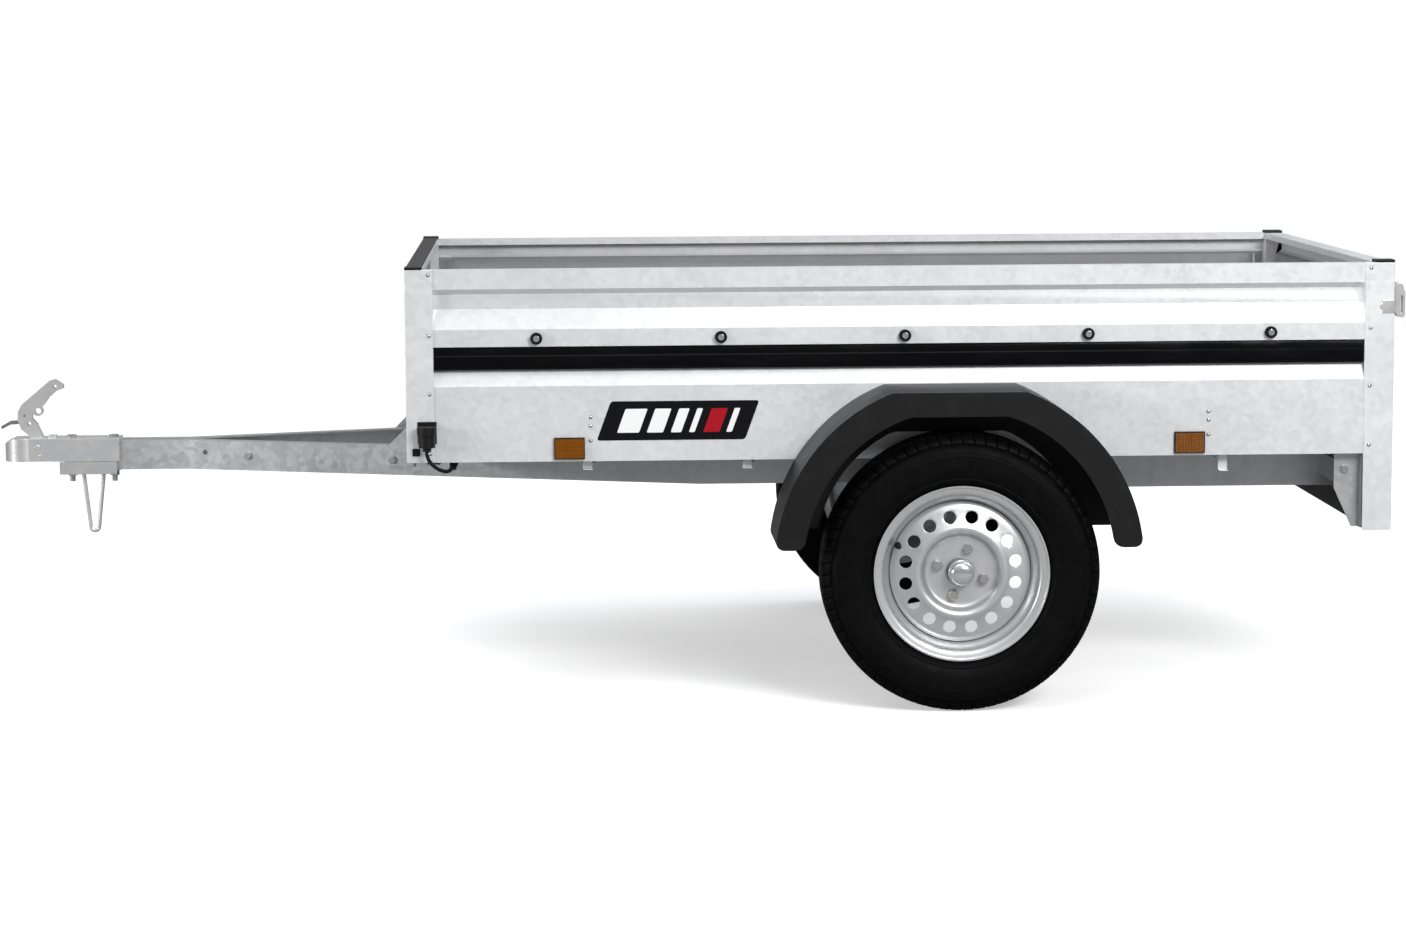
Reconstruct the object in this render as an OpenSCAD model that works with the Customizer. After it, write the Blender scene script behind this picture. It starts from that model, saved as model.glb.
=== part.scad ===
// Single-axle box trailer. Millimetres, +Z up, +X towards the tailgate, -Y on the left-hand side.
// The modules are drawn from the wheel axle's centre line, and placed() moves each one so that
// the origin lies on the ground under the middle of the whole trailer.

/* [Box] */
// Outer width of the cargo box
box_width = 1230; // [1180:5:1300]
// Distance from the axle to the box's front face
box_front = 1143; // [1100:5:1250]
// Distance from the axle to the box's rear face
box_rear = 928; // [880:5:1000]
// Height of the walls' top edge above the ground
wall_top = 913; // [880:5:1100]
// Height of the side panels' lower edge above the ground
panel_bottom = 511; // [500:1:530]
// Thickness of the wall sheet
sheet_t = 2; // [1.5:0.5:3]
// Depth of the pressed recesses in the walls
recess = 15; // [10:1:20]
// Height of the wall's top rail
rail_h = 41; // [30:1:50]
// Thickness of the plywood floor
floor_t = 12; // [9:1:18]
// Length of the front post along the box
front_post_w = 58; // [50:1:70]
// Length of the rear post along the box
rear_post_w = 62; // [50:1:70]
// Thickness of the front wall and the front posts' boxes
front_wall_t = 36; // [30:1:45]
// Thickness of the tailgate and the rear posts' boxes
tailgate_t = 41; // [35:1:50]
// Width of the posts across the trailer
post_y = 40; // [36:1:50]
// Height of the rear posts' lower ends above the ground
rear_post_bottom = 348; // [320:1:380]

/* [Chassis] */
// Height of the chassis beams' underside above the ground
beam_bottom = 437; // [420:1:450]
// Height of the beams' section
beam_h = 65; // [55:1:70]
// Width of the beams' flanges
beam_flange = 30; // [25:1:33]
// Wall thickness of the beams
beam_t = 3; // [2:0.5:4]
// Outer width of the two beams where they lie side by side
drawbar_width = 70; // [70:1:80]
// Distance from the axle to the bend behind the coupling
front_bend = 1652; // [1600:5:1700]
// Distance from the axle to the bend under the box
rear_bend = 524; // [480:5:600]
// Distance of the beams' outer faces from the middle under the box
beam_y = 417; // [400:1:430]
// Distance from the axle to the beams' front ends
beam_front = 1930; // [1920:1:1935]
// Number of cross members under the floor
cross_count = 5; // [4:1:6]
// Distance between the cross members
cross_pitch = 335; // [300:5:360]

/* [Wheels] */
// Outer radius of the tyres
tyre_r = 289; // [280:1:300]
// Width of the tyres
tyre_w = 156; // [145:1:165]
// Radius of the rim's flange
rim_r = 182; // [178:1:190]
// Distance of the wheels' middle plane from the trailer's middle
wheel_y = 717; // [710:1:730]
// Distance of the hub's mounting face from the wheel's middle plane
hub_offset = 28; // [20:1:35]
// Radius of the bolt circle
bolt_circle_r = 50; // [49:1:56]
// Number of round vent holes in the wheel disc
vent_count = 16; // [12:1:20]
// Length of the suspension arms
arm_length = 160; // [140:5:180]
// Angle of the suspension arms below the horizontal
arm_angle = 25; // [15:1:35]
// Width of the square axle tube
tube_w = 60; // [50:1:70]

/* [Mudguards] */
// Outer radius of the mudguards
guard_r = 380; // [370:1:400]
// Height of the flat top above the ground
guard_top = 667; // [655:1:700]
// Width of the mudguards
guard_w = 202; // [190:1:230]
// Depth of the outer side flange
guard_flange = 60; // [40:1:65]
// Thickness of the plastic
guard_t = 3; // [2:0.5:4]

/* [Coupling] */
// Height of the coupling's underside above the ground
coupling_bottom = 456; // [450:1:460]
// Height of the coupling's body
coupling_h = 51; // [48:1:56]
// Diameter of the tow ball that the coupling takes
ball_d = 50; // [50:0.1:50.8]
// Distance from the axle to the ball's centre
ball_x = 2025; // [2020:1:2030]
// Wall thickness of the coupling
coupling_t = 4; // [3:0.5:5]
// Height of the support rod's lowest point above the ground
rod_bottom = 291; // [270:1:320]
// Diameter of the support rod
rod_d = 9; // [8:1:12]

/* [Hidden] */
$fn = 48;

// Clearances: between bodies that pass each other, and in a running fit
gap = 0.3;
running = 0.05;

half_w = box_width / 2;
skin_y = half_w - sheet_t;
beam_top = beam_bottom + beam_h;
cross_h = 40;
floor_top = beam_top + cross_h + floor_t;
latch_depth = 23;
catch_reach = 47;
nose_x = -(ball_x + catch_reach);
tail_x = box_rear + latch_depth;
origin_x = (nose_x + tail_x) / 2;

module placed() {
    translate([-origin_x, 0, 0]) children();
}

// A copy on the left-hand side (s = -1) or the right-hand side (s = 1) of what is drawn at +Y
module on_side(s) {
    mirror([0, s < 0 ? 1 : 0, 0]) children();
}

module on_both_sides() {
    for (s = [-1, 1]) on_side(s) children();
}

// Stands a drawing in X and Z up, and gives it a thickness from y0 towards +Y
module upright(y0, t) {
    translate([0, y0 + t, 0]) rotate([90, 0, 0]) linear_extrude(t) children();
}

// Runs a drawing in Y and Z along X, from x0 over a length
module along_x(x0, length) {
    translate([x0, 0, 0]) rotate([90, 0, 90]) linear_extrude(length) children();
}

// A cylinder along Y, from y0 over a length
module y_cylinder(x, y0, z, r, length) {
    translate([x, y0 + length, z]) rotate([90, 0, 0]) cylinder(r = r, h = length);
}

// The outline of a bent sheet: a line of points given a thickness on its left, with mitred bends
function unit(v) = v / norm(v);
function left_of(v) = [-v[1], v[0]];
function mitre(a, b) = (a + b) / (1 + a * b);
function sheet_normals(p) = [for (i = [0 : len(p) - 2]) left_of(unit(p[i + 1] - p[i]))];
function sheet_offsets(p) = let (n = sheet_normals(p), last = len(n) - 1)
    [for (i = [0 : last + 1]) i == 0 ? n[0] : i > last ? n[last] : mitre(n[i - 1], n[i])];
function reversed(p) = [for (i = [len(p) - 1 : -1 : 0]) p[i]];
module bent_sheet(p, t) {
    o = sheet_offsets(p);
    polygon(concat(p, reversed([for (i = [0 : len(p) - 1]) p[i] + o[i] * t])));
}

// Points on an arc about a centre, from angle a0 to a1
function arc(c, r, a0, a1, steps) =
    [for (i = [0 : steps]) c + r * [cos(a0 + (a1 - a0) * i / steps), sin(a0 + (a1 - a0) * i / steps)]];

// ---------------------------------------------------------------- chassis

// A C-section along a straight run from a to b in plan, its web outwards, cut square at a and mitred to x limits
module channel_run(a, b) {
    dir = unit(b - a);
    n = left_of(dir);
    over = beam_flange;
    intersection() {
        translate([a[0], a[1], 0]) rotate([0, 0, atan2(dir[1], dir[0])])
            translate([-over, -beam_flange, beam_bottom])
                difference() {
                    cube([norm(b - a) + 2 * over, beam_flange, beam_h]);
                    translate([-1, -1, beam_t])
                        cube([norm(b - a) + 2 * over + 2, beam_flange - beam_t + 1, beam_h - 2 * beam_t]);
                }
        translate([a[0], -box_width, beam_bottom - 1]) cube([b[0] - a[0], 2 * box_width, beam_h + 2]);
    }
}

beam_rear = 60;
module drawbar_beam() {
    difference() {
        union() {
            channel_run([-beam_front, drawbar_width / 2], [-front_bend, drawbar_width / 2]);
            channel_run([-front_bend, drawbar_width / 2], [-rear_bend, beam_y]);
            channel_run([-rear_bend, beam_y], [beam_rear, beam_y]);
        }
        for (x = coupling_bolt_x) translate([x, 0, beam_bottom - 1]) cylinder(r = coupling_bolt_r + gap, h = beam_h + 2);
        beam_hole_place() cylinder(r = beam_hole_r, h = 40, center = true);
        for (x = [gusset_x0 + 9, tie_bolt_x]) beam_web_place(x, gusset_bolt_z) y_cylinder(0, -20, 0, 5 + gap, 40);
    }
}

// The free accessory hole in the sloping part of the beam, square to its web
beam_slope = atan2(beam_y - drawbar_width / 2, front_bend - rear_bend);
beam_hole_r = 6;
beam_hole_x = -front_bend + 38;
function beam_outer_y(x) = drawbar_width / 2 + (x + front_bend) * tan(beam_slope);
module beam_hole_place() {
    translate([beam_hole_x, beam_outer_y(beam_hole_x), beam_bottom + beam_h / 2 + 6])
        rotate([0, 0, beam_slope]) rotate([90, 0, 0]) children();
}

module drawbar_beam_left() placed() color("lightsteelblue") on_side(-1) drawbar_beam();
module drawbar_beam_right() placed() color("lightsteelblue") on_side(1) drawbar_beam();

// Rear rails: C-sections that take over from the drawbar beams behind the axle
rail_drop = 16;
rail_rear = box_rear - tailgate_t - 4;
module rear_rails() placed() color("lightsteelblue") on_both_sides()
    along_x(beam_rear + 1, rail_rear - beam_rear - 1)
        bent_sheet([[beam_y - beam_flange, beam_top], [beam_y, beam_top], [beam_y, beam_bottom - rail_drop],
            [beam_y - beam_flange, beam_bottom - rail_drop]], -beam_t);

// Cross members: C-sections on the beams, under the floor
cross_w = 30;
cross_half = skin_y - 32;
function cross_x(i) = -766 + cross_pitch * i;
module cross_member(x, half) {
    difference() {
        translate([x - cross_w / 2, -half, beam_top]) cube([cross_w, 2 * half, cross_h]);
        translate([x - cross_w / 2 + beam_t, -half - 1, beam_top + beam_t])
            cube([cross_w, 2 * half + 2, cross_h - 2 * beam_t]);
    }
}
module cross_members() placed() color("silver") {
    for (i = [0 : cross_count - 1]) cross_member(cross_x(i), cross_half);
    cross_member(-box_front + front_wall_t + 18, cross_half);
    cross_member(rail_rear - 22, bracket_y - 1);
}

// Gussets: plates from the beams' webs up to the box's front face, and brackets from the rails to the rear posts
gusset_t = 4;
gusset_x0 = -box_front - 55;
gusset_bolt_z = beam_bottom + 33;
module beam_web_place(x, z) {
    translate([x, beam_outer_y(x), z]) rotate([0, 0, beam_slope]) children();
}
module front_gusset() {
    difference() {
        beam_web_place(gusset_x0, 0) upright(0, gusset_t)
            polygon([[0, beam_bottom + 20], [0, beam_top], [50, beam_top + 48], [110, beam_top + 48], [110, beam_bottom + 20]]);
        translate([-box_front, -half_w, 0]) cube([200, box_width, wall_top]);
        beam_web_place(gusset_x0 + 9, gusset_bolt_z) y_cylinder(0, -20, 0, 5 + gap, 60);
    }
    translate([-box_front - gusset_t, beam_outer_y(-box_front) + gusset_t + 2, panel_bottom])
        cube([gusset_t, 34, beam_top + 44 - panel_bottom]);
}
bracket_y = half_w - 38;
bracket_front = box_rear - 116;
bracket_rear = box_rear - 60;
bracket_bolt = [box_rear - 94, beam_bottom + 38];
bracket_screw_z = [rear_post_bottom + 17, beam_top - 21];
module rear_bracket() {
    difference() {
        upright(bracket_y, gusset_t)
            polygon([[bracket_front, beam_top + cross_h], [bracket_front, beam_bottom - 2], [bracket_rear - 18, rear_post_bottom + 4],
                [bracket_rear, rear_post_bottom + 4], [bracket_rear, beam_top + cross_h]]);
        y_cylinder(bracket_bolt[0], bracket_y - 20, bracket_bolt[1], 5 + gap, 60);
    }
    translate([bracket_rear - gusset_t, bracket_y + gusset_t, rear_post_bottom + 4])
        cube([gusset_t, half_w - 2 * sheet_t - 30 - bracket_y + 20, panel_bottom - rear_post_bottom - 8]);
    translate([bracket_front + 4, beam_y, beam_bottom + 8]) cube([gusset_t, bracket_y - beam_y, beam_h - 16]);
}
module frame_gussets() placed() color("gainsboro") on_both_sides() {
    front_gusset();
    rear_bracket();
}

// ---------------------------------------------------------------- rear lighting

board_rear = box_rear - 16;
board_bottom = rear_post_bottom + 23;
board_top = beam_top - 2;
board_half = half_w - post_y;
module light_board() placed() color("dimgray")
    difference() {
        upright(-board_half, 2 * board_half)
            bent_sheet([[board_rear - 67, board_bottom], [board_rear, board_bottom], [board_rear, board_top],
                [board_rear - 22, board_top]], sheet_t);
        for (s = [-1, 1]) translate([board_rear - 10, s * lamp_y - lamp_w / 2 + 20, lamp_z - lamp_h / 2 + 20])
            cube([20, lamp_w - 40, lamp_h - 40]);
    }

// Combination lamps: a housing let into the board, with a stepped lens
lamp_w = 200;
lamp_h = 100;
lamp_y = board_half - 8 - lamp_w / 2;
lamp_z = board_bottom + 8 + lamp_h / 2;
lamp_depth = 26;
lens_t = 10;
module lamp_block(x0, x1, inset) {
    translate([x0, -lamp_w / 2 + inset, lamp_z - lamp_h / 2 + inset])
        cube([x1 - x0, lamp_w - 2 * inset, lamp_h - 2 * inset]);
}
module tail_light_housings() placed() color("black") on_both_sides() translate([0, lamp_y, 0]) {
    difference() {
        union() {
            lamp_block(board_rear, board_rear + 4, 0);
            lamp_block(board_rear - lamp_depth, board_rear, 20 + gap);
        }
        lamp_block(board_rear - lamp_depth + 3, board_rear + 5, 24);
    }
}
module tail_light_lenses() placed() color("crimson") on_both_sides() translate([0, lamp_y, 0])
    lamp_block(board_rear + 4, board_rear + 4 + lens_t, 2);

plate_w = 520;
plate_h = 110;
module number_plate_holder() placed() color("black")
    difference() {
        translate([board_rear, -plate_w / 2, lamp_z - plate_h / 2]) cube([6, plate_w, plate_h]);
        translate([board_rear + 2, -plate_w / 2 + 5, lamp_z - plate_h / 2 + 5]) cube([6, plate_w - 10, plate_h - 4]);
        for (s = [-1, 1]) translate([board_rear - 1, s * plate_hole_pitch / 2, lamp_z]) rotate([0, 90, 0]) cylinder(r = 2.5, h = 12);
    }
plate_hole_pitch = 300;

// ---------------------------------------------------------------- box

floor_front = -box_front + front_wall_t + 1;
floor_rear = box_rear - tailgate_t - 2;
module floor_panel() placed() color("saddlebrown")
    translate([floor_front, -(skin_y - sheet_t - 1), floor_top - floor_t])
        cube([floor_rear - floor_front, 2 * (skin_y - sheet_t - 1), floor_t]);

// A wall's section: the top rail with its return, two recesses, the plain lower band and the bottom flange.
// "outer" is the outer plane, "out" points outwards (1 or -1), "deep" is the width of the top rail.
function wall_section(outer, out, deep, bottom) =
    [for (p = [[deep, wall_top - 15], [deep, wall_top], [0, wall_top], [0, wall_top - rail_h],
        [recess, wall_top - rail_h - 11], [recess, wall_top - rail_h - 42], [0, wall_top - rail_h - 84],
        [0, strip_top], [recess, strip_top - 1], [recess, strip_top - strip_h], [0, strip_top - strip_h - 33],
        [0, bottom], [min(deep, 30), bottom]]) [outer - out * p[0], p[1]]];
strip_top = wall_top - rail_h - 120;
strip_h = 50;

wall_front = -box_front + front_wall_t;
wall_rear = box_rear - tailgate_t;
module side_wall() {
    difference() {
        along_x(wall_front, wall_rear - wall_front)
            bent_sheet(wall_section(skin_y, 1, 28, panel_bottom), -sheet_t);
        for (x = button_x) y_cylinder(x, skin_y - 10, button_z, 3, 20);
    }
}
module side_wall_left() placed() color("whitesmoke") on_side(-1) side_wall();
module side_wall_right() placed() color("whitesmoke") on_side(1) side_wall();

panel_half = half_w - post_y;
module front_wall() placed() color("whitesmoke")
    upright(-panel_half, 2 * panel_half)
        bent_sheet(wall_section(-box_front, -1, front_wall_t - 1, panel_bottom), sheet_t);

gate_half = panel_half - 2;
gate_bottom = beam_top + 20;
gate_rear = box_rear;
module tailgate_panel() placed() color("whitesmoke")
    upright(-gate_half, 2 * gate_half)
        bent_sheet(wall_section(gate_rear, 1, tailgate_t - 1, gate_bottom), -sheet_t);

// Corner posts: a square tube at the corner and a flange that laps over the side wall
module post(x0, tube, lap0, lap1, z0) {
    translate([0, 0, z0]) linear_extrude(wall_top - z0)
        union() {
            difference() {
                translate([x0, half_w - post_y]) square([tube, post_y]);
                translate([x0 + sheet_t, half_w - post_y + sheet_t]) square([tube - 2 * sheet_t, post_y - 2 * sheet_t]);
            }
            translate([lap0, half_w - sheet_t]) square([lap1 - lap0, sheet_t]);
        }
}
module front_posts() placed() color("whitesmoke") on_both_sides()
    post(-box_front, front_wall_t, -box_front, -box_front + front_post_w, panel_bottom);
module rear_posts() placed() color("whitesmoke") on_both_sides()
    post(box_rear - tailgate_t, tailgate_t, box_rear - rear_post_w, box_rear, rear_post_bottom);

// Black plastic caps: on the posts' open tops, and square plugs in the front posts' side faces
cap_h = 6;
module cap(x0, tube) {
    translate([x0, half_w - post_y, wall_top]) cube([tube, post_y, cap_h]);
    translate([x0 + sheet_t + gap, half_w - post_y + sheet_t + gap, wall_top - 14])
        cube([tube - 2 * (sheet_t + gap), post_y - 2 * (sheet_t + gap), 14]);
}
module plastic_caps() placed() color("black") on_both_sides() {
    cap(-box_front, front_wall_t);
    cap(box_rear - tailgate_t, tailgate_t);
    translate([-box_front + 12, half_w, panel_bottom + 14]) cube([16, 2.5, 16]);
}

// Black strips in the lower recess of the side walls
module side_strips() placed() color("black") on_both_sides()
    along_x(wall_front + front_post_w - front_wall_t + 1, wall_rear - wall_front - front_post_w + front_wall_t - (rear_post_w - tailgate_t) - 2)
        polygon(concat([[skin_y - recess + 0.2, strip_top - 2], [skin_y - recess + 0.2, strip_top - strip_h + 1]],
            [[skin_y - recess + 5, strip_top - strip_h + 1]],
            arc([skin_y - recess + 5, strip_top - 12], 8, -70, 70, 6)));

// Tarpaulin buttons along the middle band: a rubber ring held by a screw
button_z = strip_top + 17;
button_x = [for (i = [0 : 4]) -871 + i * 384.5];
button_r = 12.5;
module tarp_buttons() placed() color("black") on_both_sides()
    for (x = button_x) difference() {
        y_cylinder(x, skin_y, button_z, button_r, 11);
        y_cylinder(x, skin_y - 1, button_z, 3 + gap, 20);
        y_cylinder(x, skin_y + 7, button_z, 6.5 + gap, 20);
    }
module tarp_button_screws() placed() color("silver") on_both_sides()
    for (x = button_x) {
        y_cylinder(x, skin_y - 12, button_z, 2.8, 20);
        y_cylinder(x, skin_y + 7, button_z, 6.5, 5);
        y_cylinder(x, skin_y - sheet_t - 5, button_z, 5, 5);
    }

// Amber side reflectors
reflector = [64, 45];
reflector_x = [-836, 466];
reflector_z = panel_bottom + 5;
module side_reflectors() placed() color("orange") on_both_sides()
    for (x = reflector_x) translate([x, skin_y, reflector_z]) cube([reflector[0], 7, reflector[1]]);

// ---------------------------------------------------------------- mudguards

guard_x = -8;
guard_z = guard_top - 354;
guard_end = tyre_r + 56;
guard_y = skin_y;
module guard_outline(inset, top) {
    intersection() {
        translate([guard_x, guard_z]) circle(r = guard_r - inset, $fn = 96);
        translate([guard_x - 2 * guard_r, guard_end]) square([4 * guard_r, top - guard_end]);
    }
}
module mudguard() {
    upright(guard_y, guard_w - guard_t) difference() {
        guard_outline(0, guard_top);
        guard_outline(guard_t, guard_top - guard_t);
    }
    upright(guard_y + guard_w - guard_t, guard_t) difference() {
        guard_outline(0, guard_top);
        guard_outline(guard_flange, guard_top - 50);
    }
    upright(guard_y, guard_t) difference() {
        guard_outline(0, guard_top);
        guard_outline(22, guard_top - 22);
    }
}
module mudguard_left() placed() color("darkslategray") on_side(-1) mudguard();
module mudguard_right() placed() color("darkslategray") on_side(1) mudguard();

// ---------------------------------------------------------------- axle and wheels

// Turns a drawing in radius and Y round an axis along Y
module spun(x, z) {
    translate([x, 0, z]) rotate([-90, 0, 0]) rotate_extrude() children();
}
// A ring of the drawing: radii r0 to r1, from y0 to y1
module ring(r0, r1, y0, y1) {
    translate([r0, y0]) square([r1 - r0, y1 - y0]);
}

axle_x = -arm_length * cos(arm_angle);
axle_z = tyre_r + arm_length * sin(arm_angle);
axle_half = half_w - 45;
tube_t = 4;
tube_in = tube_w - 2 * tube_t;
journal_r = 23.95;
bush_l = 30;
module axle_tube() placed() color("silver") {
    difference() {
        translate([axle_x - tube_w / 2, -axle_half, axle_z - tube_w / 2]) cube([tube_w, 2 * axle_half, tube_w]);
        translate([axle_x - tube_in / 2, -axle_half - 1, axle_z - tube_in / 2]) cube([tube_in, 2 * axle_half + 2, tube_in]);
    }
    on_both_sides() difference() {
        translate([axle_x - tube_in / 2, axle_half - bush_l, axle_z - tube_in / 2]) cube([tube_in, bush_l, tube_in]);
        y_cylinder(axle_x, axle_half - bush_l - 1, axle_z, journal_r + running, bush_l + 2);
    }
}

// Axle brackets: a foot plate under each beam and two cheeks that hold the tube
bracket_l = 120;
module axle_bracket() {
    translate([axle_x - bracket_l / 2, beam_y - 42, beam_bottom - 5]) cube([bracket_l, 42, 5]);
    for (y = [beam_y - 40, beam_y - 7]) difference() {
        upright(y, 5) polygon([[axle_x - bracket_l / 2, beam_bottom - 5], [axle_x - 38, axle_z - 12], [axle_x + 38, axle_z - 12],
            [axle_x + bracket_l / 2, beam_bottom - 5]]);
        translate([axle_x - tube_w / 2, y - 1, axle_z - tube_w]) cube([tube_w, 7, 1.5 * tube_w]);
    }
}
module axle_brackets() placed() color("gainsboro") on_both_sides() axle_bracket();

// Suspension arms, each in one piece with its journal, square shaft and stub axle, and its castle nut
arm_t = 24;
arm_y = axle_half + 3;
hub_face = wheel_y + hub_offset;
stub_r = 15;
stub_shoulder = hub_face - 75;
stub_end = hub_face + 12;
module torsion_arm() {
    upright(arm_y, arm_t) difference() {
        hull() {
            translate([axle_x, axle_z]) circle(r = 34, $fn = 32);
            translate([0, tyre_r]) circle(r = 26, $fn = 32);
        }
        translate([axle_x * 0.45, tyre_r + (axle_z - tyre_r) * 0.45]) circle(r = 9);
    }
    y_cylinder(axle_x, axle_half - bush_l - 4, axle_z, journal_r, bush_l + 4 + 3.5);
    translate([axle_x, axle_half - bush_l - 64, axle_z]) rotate([0, arm_angle, 0]) translate([-15, -60, -15]) cube([30, 121, 30]);
    spun(0, tyre_r) {
        ring(0, 26, arm_y + arm_t - 0.5, arm_y + arm_t + 34);
        ring(0, 19, arm_y + arm_t + 33, stub_shoulder);
        ring(0, stub_r, stub_shoulder - 1, stub_end);
        ring(0, 12, stub_end - 1, stub_end + 13);
    }
    difference() {
        translate([0, stub_end + 0.5 + 9, tyre_r]) rotate([90, 0, 0]) cylinder(r = 17, h = 9, $fn = 6);
        y_cylinder(0, stub_end - 1, tyre_r, 12.02, 20);
    }
}
module torsion_arm_left() placed() color("dimgray") on_side(-1) torsion_arm();
module torsion_arm_right() placed() color("dimgray") on_side(1) torsion_arm();

bearing_r = 26;
bearing_in = [stub_shoulder + gap, 18];
bearing_out = [stub_end - 15.3, 15];
module wheel_bearings() spun(0, tyre_r) for (b = [bearing_in, bearing_out])
    ring(stub_r + running, bearing_r, b[0], b[0] + b[1]);
module wheel_bearings_left() placed() color("silver") on_side(-1) wheel_bearings();
module wheel_bearings_right() placed() color("silver") on_side(1) wheel_bearings();

// Hub: a boss with the bearing seats, the wheel flange and the snout that centres the wheel
snout_r = 28.2;
snout_end = hub_face + 17;
module hub() difference() {
    spun(0, tyre_r) difference() {
        union() {
            ring(20, 38, stub_shoulder - 3, hub_face - 6);
            ring(20, 64, hub_face - 12, hub_face);
            ring(20, snout_r, hub_face - 1, snout_end);
        }
        ring(0, bearing_r, stub_shoulder - 5, bearing_in[0] + bearing_in[1]);
        ring(0, 23, stub_shoulder, snout_end);
        ring(0, bearing_r, bearing_out[0], snout_end + 1);
    }
    bolt_places() cylinder(r = 6.2, h = 60, center = true);
}
module bolt_places() {
    for (i = [0 : 3]) rotate([0, 0, 0]) translate([0, hub_face, tyre_r]) rotate([0, 17 + 90 * i, 0])
        translate([bolt_circle_r, 0, 0]) rotate([-90, 0, 0]) children();
}
module hub_left() placed() color("silver") on_side(-1) hub();
module hub_right() placed() color("silver") on_side(1) hub();

// Wheel rim: the rolled barrel and the pressed disc welded into it
bead_r = 165;
well_r = 150;
rim_t = 3;
disc_t = 4;
bore_r = 28.5;
vent_r = 13.3;
vent_circle_r = 116;
module rim() difference() {
    union() {
        spun(0, tyre_r) translate([0, wheel_y]) {
            bent_sheet([[rim_r, 66], [rim_r, 60], [rim_r - 10, 57], [bead_r, 55], [bead_r - 2, 38], [well_r, 22],
                [well_r, -14], [bead_r - 2, -36], [bead_r, -55], [rim_r - 10, -57], [rim_r, -60], [rim_r, -66]], -rim_t);
            bent_sheet([[well_r - rim_t + 1, 14], [well_r - rim_t - 1, hub_offset + 2], [130, hub_offset + 9], [103, hub_offset + 14],
                [95, hub_offset + 18], [88, hub_offset + 18], [76, hub_offset + disc_t + 1], [70, hub_offset + disc_t],
                [bore_r, hub_offset + disc_t]], disc_t);
        }
    }
    bolt_places() cylinder(r = 6.5, h = 60, center = true);
    for (i = [0 : vent_count - 1]) translate([0, wheel_y + hub_offset, tyre_r]) rotate([0, (i + 0.5) * 360 / vent_count, 0])
        translate([vent_circle_r, 0, 0]) rotate([-90, 0, 0]) cylinder(r = vent_r, h = 60, center = true);
}
module rim_left() placed() color("silver") on_side(-1) rim();
module rim_right() placed() color("silver") on_side(1) rim();

// Tyre: one half of the section, mirrored about the wheel's middle plane
tyre_half = tyre_w / 2;
tyre_outer = [[bead_r + 0.3, 40], [bead_r + 0.3, 54.5], [172.5, 56.2], [rim_r + 1, 58.5], [190, tyre_half - 10],
    [206, tyre_half - 2.5], [228, tyre_half], [250, tyre_half - 2], [tyre_r - 21, tyre_half - 9], [tyre_r - 9, tyre_half - 17],
    [tyre_r - 3, tyre_half - 26], [tyre_r, tyre_half - 38]];
tyre_inner = [[tyre_r - 12, 30], [tyre_r - 16, 46], [tyre_r - 28, 58], [236, tyre_half - 10], [206, tyre_half - 13], [188, 54], [177, 44]];
function flipped(p) = [for (i = [len(p) - 1 : -1 : 0]) [p[i][0], -p[i][1]]];
module tyre() spun(0, tyre_r) translate([0, wheel_y])
    polygon(concat(tyre_outer, flipped(tyre_outer), flipped(tyre_inner), tyre_inner));
module tyre_left() placed() color("black") on_side(-1) tyre();
module tyre_right() placed() color("black") on_side(1) tyre();

module wheel_bolts() bolt_places() {
    translate([0, 0, -14]) cylinder(r = 6, h = 14 + disc_t + 1);
    translate([0, 0, disc_t + 0.2]) cylinder(r = 10, h = 3);
    translate([0, 0, disc_t + 3]) cylinder(r = 10.5, h = 11, $fn = 6);
}
module wheel_bolts_left() placed() color("gainsboro") on_side(-1) wheel_bolts();
module wheel_bolts_right() placed() color("gainsboro") on_side(1) wheel_bolts();

cap_r = 27;
module grease_cap() spun(0, tyre_r) difference() {
    union() {
        ring(0, cap_r, snout_end, snout_end + 15);
        ring(0, cap_r - 2, snout_end + 14, snout_end + 17);
        ring(0, bearing_r - 0.1, snout_end - 4, snout_end + 1);
    }
    ring(-1, 24, snout_end - 5, snout_end + 13);
}
module grease_cap_left() placed() color("gainsboro") on_side(-1) grease_cap();
module grease_cap_right() placed() color("gainsboro") on_side(1) grease_cap();

// ---------------------------------------------------------------- coupling

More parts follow.
